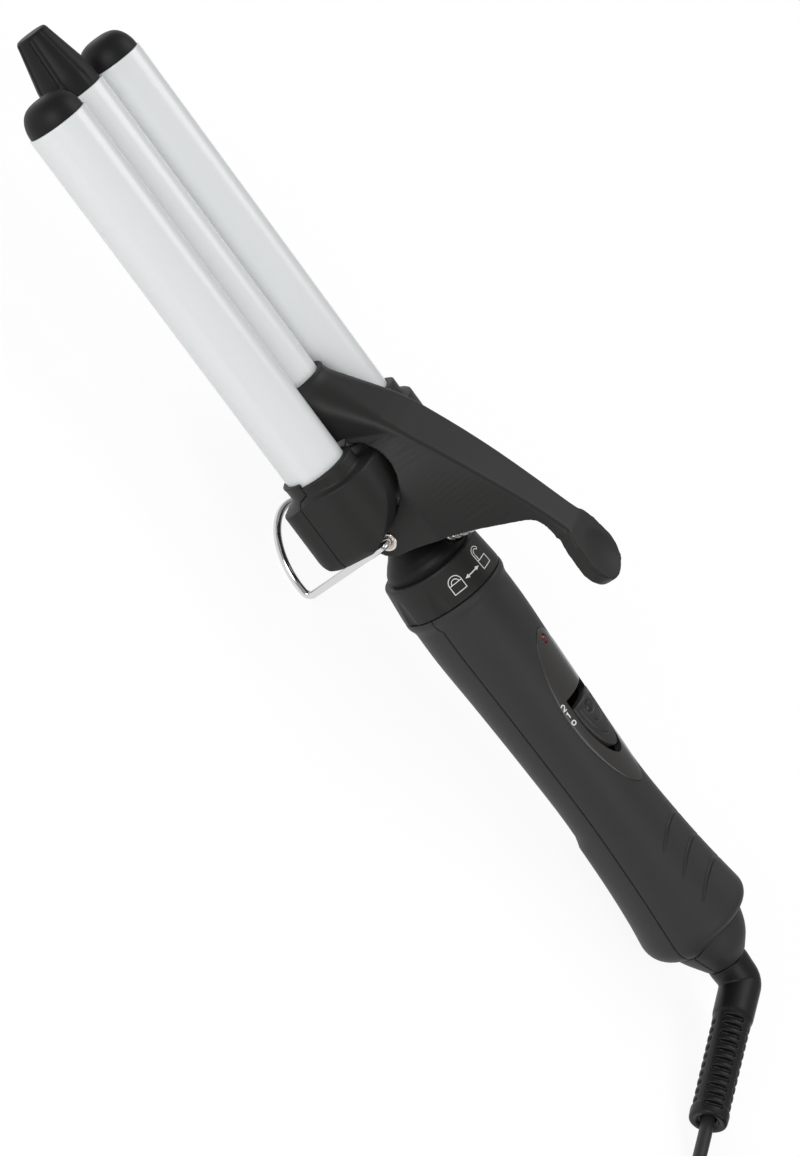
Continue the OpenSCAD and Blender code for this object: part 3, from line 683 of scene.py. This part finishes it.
def makeShells():
    upper = shell("upper_shell", True)
    gap = plate["gap"]
    plateBed = inlay("plateBed", plate["front"] + gap, plate["rear"] - gap,
                     lambda x: plateHalf(x, gap), plate["seat"] - 0.03, 3)
    lensHole = rod("lensHole", "Z", (lens["x"], 0), lens["shellHole"], 5, 20)
    carve(upper, plateBed, slotCutter("slot", -6), lensHole,
          *[gripGroove(x) for x in fingerGrooves["tops"]])
    finished(upper, "handle", gripPlastic, "body_plastic", "upper_handle_shell")
    lower = shell("lower_shell", False)
    for x in handle["screws"]:
        carve(lower, rod("screwHole", "Z", (x, 0), handle["screwHole"], -30, -13.9, 48))
    finished(lower, "handle", gripPlastic, "body_plastic", "lower_handle_shell")


def makePlate():
    body = inlay("switch_plate_inlay", plate["front"], plate["rear"], plateHalf, plate["seat"],
                 plate["proud"], columns=110, rows=40, ease=plate["ease"])
    carve(body, slotCutter("slot", -6), rod("lensHole", "Z", (lens["x"], 0), lens["plateHole"], 5, 20))
    finished(body, "handle", switchGloss, "gloss_plate", "switch_plate", crease=45)


def sliderRelief(x, y):
    # A thumb dimple and two nested grooves that run round it
    (dimpleX, dimpleY), (long, wide) = slider["dimple"], slider["dimpleHalf"]
    lift = -slider["dimpleDeep"] * exp(-(((x - dimpleX) / long) ** 2 + ((y - dimpleY) / wide) ** 2) ** 2)
    back = slider["front"] - x
    for length, wide in slider["grooves"]:
        reach = max(sqrt((back / length) ** 2 + (y / wide) ** 2), 0.01)
        slope = sqrt((back / length ** 2) ** 2 + (y / wide ** 2) ** 2) / reach
        away = (reach - 1) / max(slope, 0.01)
        fade = min(max((back - 1.2) / 1.2, 0), 1)
        lift -= slider["grooveDeep"] * fade * exp(-(away / slider["grooveWide"]) ** 2)
    return lift


def makeSlider():
    tip = slider["front"] - slider["length"]
    body = inlay("slider_thumb", slider["front"], tip,
                 lambda x: bulletHalf(x, slider["front"], 0, slider["length"], slider["half"]),
                 slider["low"], slider["proud"], columns=190, rows=90, relief=sliderRelief,
                 ease=slider["ease"])
    finished(body, "switch_slider", sliderSatin, "gloss_plate", "switch_slider", crease=50)


def makeLens():
    foot, shoulder, radius = lens["foot"], lens["shoulder"], lens["radius"]
    line = [(foot, 0), (foot, radius)]
    line += [(shoulder + lens["dome"] * sin(radians(a)), radius * cos(radians(a)))
             for a in range(0, 90, 10)]
    dome = turned("indicator_dome", line + [(shoulder + lens["dome"], 0)], around=48)
    dome.data.transform(Matrix.Translation((lens["x"], 0, 0)) @ Matrix.Rotation(-pi / 2, 4, "Y"))
    finished(dome, "handle", redLens, "red_lens", "indicator_lens")


makeShells()
makePlate()
makeSlider()
makeLens()
print("handle ready")


# Lock ring

ring = {"front": -49.7, "rear": -62.3, "bore": 15.12, "frontRadius": 17.05, "swell": (-58, 17.85),
        "scallops": 6, "firstScallop": 78, "scallopApart": 44, "scallopRadius": 6,
        "scallopCentre": 23.3}


def makeRing():
    line = softLine([(ring["front"], ring["bore"]), (ring["front"], 16.75, 0.5),
                     (ring["front"] - 0.5, ring["frontRadius"], 0.4), (*ring["swell"], 3),
                     (ring["rear"] + 0.3, 18.2, 0.5),
                     (ring["rear"], 17.9, 0.3), (ring["rear"], ring["bore"])])
    fine = []
    for a, b in zip(line, line[1:]):
        steps = max(1, int((a - b).length / 0.6))
        fine += [a + (b - a) * k / steps for k in range(steps)]
    fine.append(line[-1])

    def scallop(x, radius, angle):
        if radius < 16.5:
            return radius
        turns = (angle * 180 / pi - ring["firstScallop"] + 90) % 360 - 90
        nearest = min(max(round(turns / ring["scallopApart"]), 0), ring["scallops"] - 1)
        off = radians(turns - nearest * ring["scallopApart"])
        centre = ring["scallopCentre"]
        reach = ring["scallopRadius"] ** 2 - (centre * sin(off)) ** 2
        if reach < 0 or cos(off) < 0:
            return radius
        return min(radius, centre * cos(off) - sqrt(reach))

    body = turned("lock_ring_moulding", fine, 0, tool["axisZ"], around=360, shape=scallop,
                  hollow=True)
    finished(body, "lock_ring", jawPlastic, "body_plastic", "lock_ring", crease=40)


makeRing()


# Printed marks, drawn as (right, up) strokes with up towards the tips

def evened(points, closed, step=0.4):
    line = []
    for a, b in zip(points, points[1:] + (points[:1] if closed else [])):
        count = max(1, ceil((b - a).length / step))
        line += [a + (b - a) * k / count for k in range(count)]
    return line if closed else line + [points[-1]]


def printed(name, strokes, x, turn, radiusAt, body, width=0.28):
    verts, faces = [], []
    for stroke in strokes:
        wide = stroke[2] if len(stroke) > 2 else (width, width)
        closed = stroke[1]
        points = evened([Vector(p) for p in stroke[0]], closed)
        count = len(points)
        base = len(verts)
        for i, p in enumerate(points):
            before = points[i - 1] if (closed or i) else p
            after = points[(i + 1) % count] if (closed or i < count - 1) else p
            a, b = (p - before).normalized(), (after - p).normalized()
            way = (a + b).normalized()
            aside = Vector((-way.y, way.x))
            across = b if b.length else a
            mitre = 1 / max(0.5, aside.dot(Vector((-across.y, across.x))))
            w = (wide[0] + (wide[1] - wide[0]) * i / max(1, count - 1)) / 2 * mitre
            for edge, lift in ((w, 0.04), (-w, 0.04), (-w, -0.05), (w, -0.05)):
                q = p + aside * edge
                along = x + q.y
                r = radiusAt(along)
                angle = turn - q.x / r
                r += lift
                verts.append((along, r * sin(angle), tool["axisZ"] + r * cos(angle)))
        for i in range(count if closed else count - 1):
            for j in range(4):
                m, n = base + 4 * i, base + 4 * ((i + 1) % count)
                faces.append((m + j, m + (j + 1) % 4, n + (j + 1) % 4, n + j))
        if not closed:
            last = base + 4 * count - 4
            faces += [tuple(range(base, base + 4)), tuple(range(last, last + 4))]
    marks = blank(name, verts, faces)
    finished(marks, body, whiteInk, None, crease=30)


def ringRadius(x):
    swellX, swell = ring["swell"]
    if x > swellX:
        return ring["frontRadius"] + (swell - ring["frontRadius"]) * (-50.2 - x) / 7.8
    return swell + (x - swellX) * -0.087


def padlock(lifted):
    body = ([(-2.3, -3), (2.3, -3), (2.3, 0), (-2.3, 0)], True)
    if not lifted:
        outer = [(2.3, 0)] + arc((0, 0.1), 2.3, 0, 180, 14) + [(-2.3, 0)]
        inner = arc((0, 0), 1.35, 0, 180, 12)
        return [body, (outer, False), (inner, True)]
    top = 2.4
    outer = [(-2.3, 0), (-2.3, top)] + arc((-0.3, top), 2.0, 180, 20, 12)
    inner = [(-1.45, 0), (-1.45, top)] + arc((-0.3, top), 1.15, 180, 20, 10)
    tip = [outer[-1], inner[-1]]
    return [body, (outer, False), (inner, False), (tip, False)]


def doubleArrow():
    return [([(-1.9, 0), (1.9, 0)], False, (0.42, 0.42)),
            ([(-1.7, 0), (-3.2, 0)], False, (1.4, 0.05)),
            ([(1.7, 0), (3.2, 0)], False, (1.4, 0.05))]


def digit(number):
    if number == 0:
        return [(arc((0, 0), 0.72, 0, 340, 17), True)]
    if number == 1:
        return [([(-0.45, 0.5), (0.05, 1.0), (0.05, -1.0)], False)]
    return [([(-0.6, 0.55)] + arc((0, 0.4), 0.6, 150, -30, 8) + [(-0.6, -1.0), (0.7, -1.0)], False)]


ringMarks = {"locked_mark": (padlock(False), -56.2, 50.5), "turn_mark": (doubleArrow(), -57.1, 29),
             "unlocked_mark": (padlock(True), -56.2, 8)}
numerals = {"places": {2: -111.2, 1: -114.2, 0: -117.2}, "turn": 35.5, "width": 0.42}
for name, (strokes, x, turn) in ringMarks.items():
    printed(name, strokes, x, radians(turn), ringRadius, "lock_ring")
for number, x in numerals["places"].items():
    printed(f"numeral_{number}", digit(number), x, radians(numerals["turn"]),
            lambda along: gripRadius(along) + plate["proud"], "handle", numerals["width"])
print("lock ring and marks ready")


# Lever

lever = {"shell": 2.2, "archCentre": (-13.6, 5.1), "archRadius": 13, "earIn": 16.35, "earOut": 18.9,
         "earRadius": 5.4, "hubRadius": 6.5, "pinHole": 2.6, "wireWay": 4, "springX": -43.5,
         "springBoss": 4.8}
# x, half width on top, top height, half width at the foot, foot height, rounding on top and foot
frontKeys = [(21.5, 11.55, 8.05, 11.55, -15.05, 11.5, 11.5),
             (18.5, 11.55, 9.1, 11.55, -15.05, 11.2, 11.5),
             (15, 11.5, 11.4, 11.55, -15.05, 10, 11.5), (10, 11.4, 14.9, 11.6, -15.05, 8, 11.5),
             (5.5, 11.2, 18, 11.7, -15.05, 6, 11.5), (1, 11, 21, 11.9, -15.05, 4, 11.5)]
rearKeys = [(-4, 10.9, 24, 13.6, 8, 3.2, 3), (-9, 10.7, 26.7, 15.6, 11, 2.8, 3),
            (-18, 10.2, 31.6, 18, 12, 2.6, 4), (-27, 9.6, 36.2, 18.9, 12, 2.4, 5),
            (-36, 8.8, 40.5, 18.9, 12, 2.2, 5), (-45, 7.9, 44.6, 18, 12, 2, 5),
            (-55, 7.4, 48.8, 17.5, 12, 2, 5), (-60, 7.6, 50.8, 17.2, 12, 2, 5)]
paddle = {"root": Vector((-60, 0, 50.8)), "rise": 5.1, "thick": 4.7, "radius": 11, "centre": -11.3,
          "dish": (-71.6, 0, 76.6), "dishRadius": 26, "dishStretch": 1.15}


def leverLoop(key, end, skirt, steps=14):
    x, topHalf, top, footHalf, foot, topRound, footRound = key
    first = Vector((topHalf - topRound, top - topRound))
    second = Vector((footHalf - footRound, foot + footRound))
    away = second - first
    if away.length < 0.11:
        turn = 0
    else:
        lean = max(-1, min(1, (topRound - footRound) / away.length))
        turn = atan2(away.y, away.x) * 180 / pi + 90 - asin(lean) * 180 / pi
    line = arc(first, topRound, 90, turn, steps) + arc(second, footRound, turn, end, steps)
    line.append((max(0.3, second.x) if end < -45 else footHalf, skirt))
    return ([(x, y, z) for y, z in line] + [(x, -y, z) for y, z in reversed(line)])


def leverBody():
    front = [leverLoop(key, -84, -15.05) for key in smoothed(frontKeys, 4)]
    rear = [leverLoop(key, 0, -2.5) for key in smoothed(rearKeys, 5)]
    return lofted("lever_moulding", front + rear)


def leverRoom():
    wall = lever["shell"]

    def inside(key, x=None, foot=None):
        return (x or key[0], key[1] - wall, key[2] - wall - 0.3, key[3] - wall - 0.4,
                foot or key[4], max(0.8, key[5] - wall), max(1, key[6] - wall))

    loops = [leverLoop(inside(frontKeys[-1], -1.5, 6), 0, -20)]
    loops += [leverLoop(inside(key), 0, -20) for key in rearKeys[:-2]]
    return lofted("leverRoom", loops)


def makeLever():
    body = leverBody()
    rearEdge = [(-38.1, -4), (-38.2, 3), (-38.5, 8.5), (-39.2, 14), (-40.4, 20), (-43.1, 26.8),
                (-46.2, 33.5), (-49.3, 40.1), (-50.3, 42), (-52, 43.8), (-54.5, 45), (-58, 45.8)]
    edge = [tuple(p) for p in smoothed(rearEdge, 4)] + [(-90, 46), (-90, -40), (-38.1, -40)]
    pivot, drop = tool["pivot"], -barrelSizes["drop"]
    carve(body, leverRoom(), prism("rearCut", edge, "Y", -60, 60),
          prism("underCut", [(1.2, 8), (1.2, -30), (-60, -30), (-60, pivot.z), (-26.9, pivot.z),
                             (-26.9, 8)], "Y", -60, 60),
          rod("archCut", "Y", lever["archCentre"], lever["archRadius"], -40, 40, 160),
          rod("hubRoom", "Y", (pivot.x, pivot.z), lever["hubRadius"], -lever["earIn"], lever["earIn"]))
    for side in (-1, 1):
        low, high = sorted((side * lever["earIn"], side * lever["earOut"]))
        carve(body, rod("ear", "Y", (pivot.x, pivot.z), lever["earRadius"], low, high), how="UNION")
    outline = ([(0.4, 7.5), (-4.5, 9.6)]
               + arc((paddle["centre"], 0), paddle["radius"], 98, 262, 40)
               + [(-4.5, -9.6), (0.4, -7.5)])
    thumb = prism("paddle", outline, "Z", -paddle["thick"], 0)
    thumb.data.transform(Matrix.Translation(paddle["root"])
                         @ Matrix.Rotation(radians(paddle["rise"]), 4, "Y"))
    carve(body, thumb, rod("springBoss", "Z", (lever["springX"], 0), lever["springBoss"], 25.55, 40.5),
          turned("lip", softLine([(20.3, 11), (20.6, 11.8, 0.3), (21.2, 12.1, 0.3), (21.8, 11.9, 0.3),
                                  (21.8, 11)]), 0, drop, hollow=True), how="UNION")
    dish = blankBall("dish", paddle["dish"], paddle["dishRadius"], paddle["dishStretch"])
    carve(body, rod("socket", "X", (0, drop), barrelSizes["radius"], barrelSizes["leverSocket"], 40, 120),
          rod("wireWay", "X", (0, drop), lever["wireWay"], -4, 40),
          rod("pinHole", "Y", (pivot.x, pivot.z), lever["pinHole"], -40, 40), dish)
    moulded(body, 0.32, 4)
    # More rounding towards the paddle
    softer(body, lambda spot: (-46 - spot.x) / 10 if spot.z > 36 else 0, 26)
    finished(body, "lever", jawPlastic, "body_plastic", "lever", crease=0)


def blankBall(name, centre, radius, stretch):
    work = bmesh.new()
    bmesh.ops.create_uvsphere(work, u_segments=128, v_segments=64, radius=radius)
    mesh = bpy.data.meshes.new(name)
    work.to_mesh(mesh)
    work.free()
    mesh.transform(Matrix.Translation(centre) @ Matrix.Diagonal((stretch, 1, 1, 1)))
    thing = bpy.data.objects.new(name, mesh)
    scene.collection.objects.link(thing)
    return thing


makeLever()
print("lever ready")


# Jaw housing

jaw = {"out": 35.5, "top": 15.8, "bottom": -14.3, "rear": -29, "face": -6.9, "bossRadius": 12.4,
       "topRound": 14, "bottomRound": 6.5, "rearRound": 9.5, "cornerRound": 5.5, "slotHalf": 12.8,
       "neckBore": 9.5, "screwSpot": (-24, 15), "screwSeat": 2.9}


def mirrorOutline(points):
    return points + [(-y, z) for y, z in reversed(points)]


def collar(lip, side):
    flare = [(-2.8 - 4.2 * sin(radians(a)), 11.2 + 14 * (1 - cos(radians(a))))
             for a in range(0, 89, 6)]
    line = ([(lip, 0), (lip, 11.3), (lip - 0.4, 11.7), (lip - 1.3, 11.4)] + flare
            + [(-20, 25)])

    def flush(x, radius, angle):
        # Towards the top the hollow behind the lip fills up
        t = min(max((cos(angle) - 0.35) / 0.45, 0), 1)
        return max(radius, 11.3 + 1.1 * t) if x < lip - 0.2 and radius > 11 else radius

    return turned("collar", line, side * half, 0, shape=flush)


def jawForm(name, lip):
    out, bottom, slotHalf = jaw["out"], jaw["bottom"], jaw["slotHalf"]
    barrelRadius = barrelSizes["radius"]
    high, low, back, corner = jaw["topRound"], jaw["bottomRound"], jaw["rearRound"], jaw["cornerRound"]
    cross = mirrorOutline(arc((21.5, jaw["top"] - high), high, 90, 0, 20)
                          + arc((out - low, bottom + low), low, 0, -90, 12))
    side = ([(3, bottom), (3, jaw["top"])] + arc((-15.2, 1.5), 14.3, 90, 165, 20)
            + arc((jaw["rear"] + back, bottom + back), back, 180, 270, 14))
    plan = [(9, out + 0.2)] + arc((-25, out - corner), corner, 90, 180, 12)
    plan += [(x, -y) for x, y in reversed(plan)]
    gap = [(12, 12.8), (-0.5, 12.8), (-4, 14.2), (-9, 16.2), (-18, 18.6), (-27, 19.8), (-41, 19.8)]
    gap += [(x, -y) for x, y in reversed(gap)]
    body = prism(name, [(-40, -20), (jaw["face"], -20), (jaw["face"], 20), (-40, 20)], "Y", -40, 40)
    for sign in (-1, 1):
        inner, outer = sorted((sign * 5, sign * 40))
        front = collar(lip, sign)
        carve(front, prism("near", [(jaw["face"] - 1, -30), (5, -30), (5, 30), (jaw["face"] - 1, 30)],
                           "Y", inner, outer), how="INTERSECT")
        carve(body, front, how="UNION")
    carve(body, prism("cross", cross, "X", -50, 50), prism("side", side, "Y", -60, 60),
          prism("plan", plan, "Z", -40, 40), how="INTERSECT")
    room = prism("room", gap, "Z", -3.2, 40)
    carve(room, rod("boss", "Y", lever["archCentre"], jaw["bossRadius"], -30, 30, 160))
    carve(body, rod("bore", "X", (half, 0), barrelRadius, barrelSizes["socket"], 10, 120),
          rod("bore", "X", (-half, 0), barrelRadius, barrelSizes["socket"], 10, 120), room,
          prism("slot", [(0.7, -30), (10, -30), (10, 0), (0.7, 0)], "Y", -slotHalf, slotHalf),
          rod("neckBore", "X", (0, tool["axisZ"]), jaw["neckBore"], -40, -24, 120))
    screwX, screwY = jaw["screwSpot"]
    for sign in (-1, 1):
        carve(body, rod("screwSeat", "Z", (screwX, sign * screwY), jaw["screwSeat"], -16, -12.1, 48))
    return body


def belowSeam(drop):
    return prism("seam", [(10, -1.2 - drop), (-2.6, -1.2 - drop), (-4, -5 - drop), (-50, -5 - drop),
                          (-50, -40), (10, -40)], "Y", -60, 60)


def makeJaws():
    upper = carve(jawForm("jaw_upper_moulding", 0.2), belowSeam(-0.08))
    moulded(upper, 0.3, 3)
    finished(upper, "handle", jawPlastic, "body_plastic", "jaw_upper", crease=0)
    lower = carve(jawForm("jaw_lower_moulding", 1.5), belowSeam(0.08), how="INTERSECT")
    moulded(lower, 0.3, 3)
    finished(lower, "handle", jawPlastic, "body_plastic", "jaw_lower", crease=0)


makeJaws()
print("jaws ready")


# Wire stand, rivets and spring

stand = {"wire": 1.3, "halfSpan": 20.9, "lean": 2, "topBend": 2.4, "footBend": 2.4}


def standPath():
    wire, reach, lean = stand["wire"], stand["halfSpan"], radians(stand["lean"])
    drop = pivotSpot.z * 1000 - wire
    bend = stand["topBend"]
    side = [Vector((0, y, 0)) for y in (9, 12, 15, 17, reach - bend)]
    side += [Vector((0, reach - bend + bend * sin(radians(a)), bend * cos(radians(a)) - bend))
             for a in range(10, 91, 10)]
    foot = stand["footBend"] * tan(radians(90 + stand["lean"]) / 2)
    legEnd = drop / cos(lean) - foot
    side += [Vector((0, reach, -bend - (legEnd - bend) * k / 12)) for k in range(1, 13)]
    side = [Matrix.Rotation(lean, 3, "Y") @ p for p in side]
    centreX = foot - drop * tan(lean)
    floorZ = -drop
    for a in range(10, 92, 9):
        t = radians(180 - stand["lean"] + a)
        side.append(Vector((centreX + stand["footBend"] * cos(t), reach,
                            floorZ + stand["footBend"] + stand["footBend"] * sin(t))))
    loop = [Vector((centreX + reach * cos(radians(a)), reach * sin(radians(a)), floorZ))
            for a in range(90, -91, -4)]
    return side + loop[1:-1] + [Vector((p.x, -p.y, p.z)) for p in reversed(side)]


def makeStand():
    wire = tube("stand_wire", standPath(), stand["wire"], sides=28)
    finished(wire, "stand", chromeWire, "wire_chrome", "wire_stand", place=pivotAxes, crease=50)


def makeRivets():
    line = softLine([(8, 1.36), (8, 2.5), (18.93, 2.5), (18.95, 3.15, 0.25), (19.35, 3.2, 0.3),
                     (19.6, 2.7, 0.35), (19.35, 2.1, 0.4), (18.7, 1.36, 0.2), (17, 1.36)])
    pair = []
    for sign in (1, -1):
        rivet = turned("rivet", line, around=64, hollow=True)
        rivet.data.transform(Matrix.Translation(tool["pivot"]) @ Matrix.Rotation(sign * pi / 2, 4, "Z"))
        pair.append(rivet)
    finished(joined("hollow_rivets", pair), "handle", nickel, "rivet_nickel", "pivot_rivets")


def joined(name, things):
    work = bmesh.new()
    for thing in things:
        work.from_mesh(thing.data)
        bpy.data.objects.remove(thing)
    mesh = bpy.data.meshes.new(name)
    work.to_mesh(mesh)
    work.free()
    whole = bpy.data.objects.new(name, mesh)
    scene.collection.objects.link(whole)
    return whole


spring = {"turns": 6.5, "radius": 4.0, "wire": 0.6, "low": 11.9, "high": 24.8}


def makeSpring():
    turns, radius, low = spring["turns"], spring["radius"], spring["low"]
    path = []
    for k in range(int(turns * 32) + 1):
        t = k / (turns * 32)
        rise = min(max((t - 0.1) / 0.8, 0), 1)
        a = 2 * pi * turns * t
        path.append((lever["springX"] + radius * cos(a), radius * sin(a),
                     low + (spring["high"] - low) * (0.06 * t + 0.94 * rise)))
    coil = finished(tube("lever_spring_coil", path, spring["wire"], sides=10), None, steel, "steel",
                    crease=0)
    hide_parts("lever_spring")
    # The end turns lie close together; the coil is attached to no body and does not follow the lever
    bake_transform(coil)


makeStand()
makeRivets()
makeSpring()
print("stand, rivets and spring ready")


# Strain relief

relief = {"corner": -229.5, "bend": 75, "bendRadius": 3, "turn": 80.5, "reach": 55.6, "thick": 6.9,
          "pitch": 3.36, "firstSlot": 18.1, "slots": 11, "slotHalf": 0.9,
          "slotWide": 3.2, "slotFloor": 4.7, "roll": -51}


def reliefAxes():
    # From the relief's own axes, with z along the cord, to the tool's
    return (Matrix.Translation((0, 0, tool["axisZ"])) @ Matrix.Rotation(radians(relief["turn"]), 4, "X")
            @ Matrix.Translation((relief["corner"], 0, 0))
            @ Matrix.Rotation(-radians(90 + relief["bend"]), 4, "Y"))


def slotWindow(z, quarter):
    high, wide = relief["slotHalf"], relief["slotWide"]
    corners = [(-wide, z - high), (wide, z - high), (wide, z + high), (-wide, z + high)]
    window = prism("window", corners, "Y", relief["slotFloor"], 8.7)
    window.data.transform(Matrix.Rotation(radians(relief["roll"] + 90 * quarter), 4, "Z"))
    return window


def makeRelief():
    thick, radius, corner = relief["thick"], relief["bendRadius"], relief["corner"]
    back = radius * tan(radians(relief["bend"] / 2))
    turn = Matrix.Translation((0, 0, tool["axisZ"])) @ Matrix.Rotation(radians(relief["turn"]), 4, "X")
    body = turned("strain_relief_moulding", [(-209.2, 0), (-209.2, 6.45), (-211, 5), (-219.6, 5),
                                             (-219.9, 7.1), (-222, 7.2), (corner + back, thick),
                                             (corner + back, 0)], around=72)
    for k in range(6):
        a = radians(90 + relief["bend"] * k / 5)
        spot = Vector((corner + back + radius * cos(a), 0, radius * sin(a) - radius))
        carve(body, blankBall("knuckle", spot, thick, 1), how="UNION")
    body.data.transform(turn)
    reach = relief["reach"]
    sleeve = turned("sleeve", softLine([(back, 0), (back, thick), (15, 6.8, 1), (16, 6.4, 1),
                                        (reach - 5, 6.2, 1), (reach - 4, 6.5, 1), (reach, 6.3, 1.2),
                                        (reach - 0.2, 4.2, 0.6), (reach - 1.2, 3.4, 0.4),
                                        (reach - 1.5, 2.5, 0.3), (reach - 8, 2.5), (reach - 8, 0)]),
                    around=96)
    sleeve.data.transform(Matrix.Rotation(-pi / 2, 4, "Y"))
    # Rows on neighbouring sides are half a step apart
    for quarter in range(4):
        between = quarter % 2 == 0
        shift = relief["pitch"] / 2 if between else 0
        for i in range(relief["slots"] - between):
            carve(sleeve, slotWindow(relief["firstSlot"] + shift + relief["pitch"] * i, quarter))
    sleeve.data.transform(reliefAxes())
    carve(body, sleeve, how="UNION")
    moulded(body, 0.28, 3)
    finished(body, "swivel", rubber, "relief_rubber", "strain_relief", crease=0)


makeRelief()
print("strain relief ready")


# Nodes that keep their own shape

def dress(name, paint, crease=35):
    node = frame["nodes"][name]
    node.data.materials.clear()
    node.data.materials.append(paint)
    node.data.polygons.foreach_set("use_smooth", [True] * len(node.data.polygons))
    node.data.set_sharp_from_angle(angle=radians(crease))


keptNodes = {"neck": tipPlastic, "swivel_bush": tipPlastic, "coil_tie": tipPlastic,
             "switch_body": tipPlastic, "circuit_board": tipPlastic, "handle_screws": steel,
             "jaw_screws": steel, "mains_plug": cordJacket, "plug_pins": brassPins}
for name, paint in keptNodes.items():
    dress(name, paint)
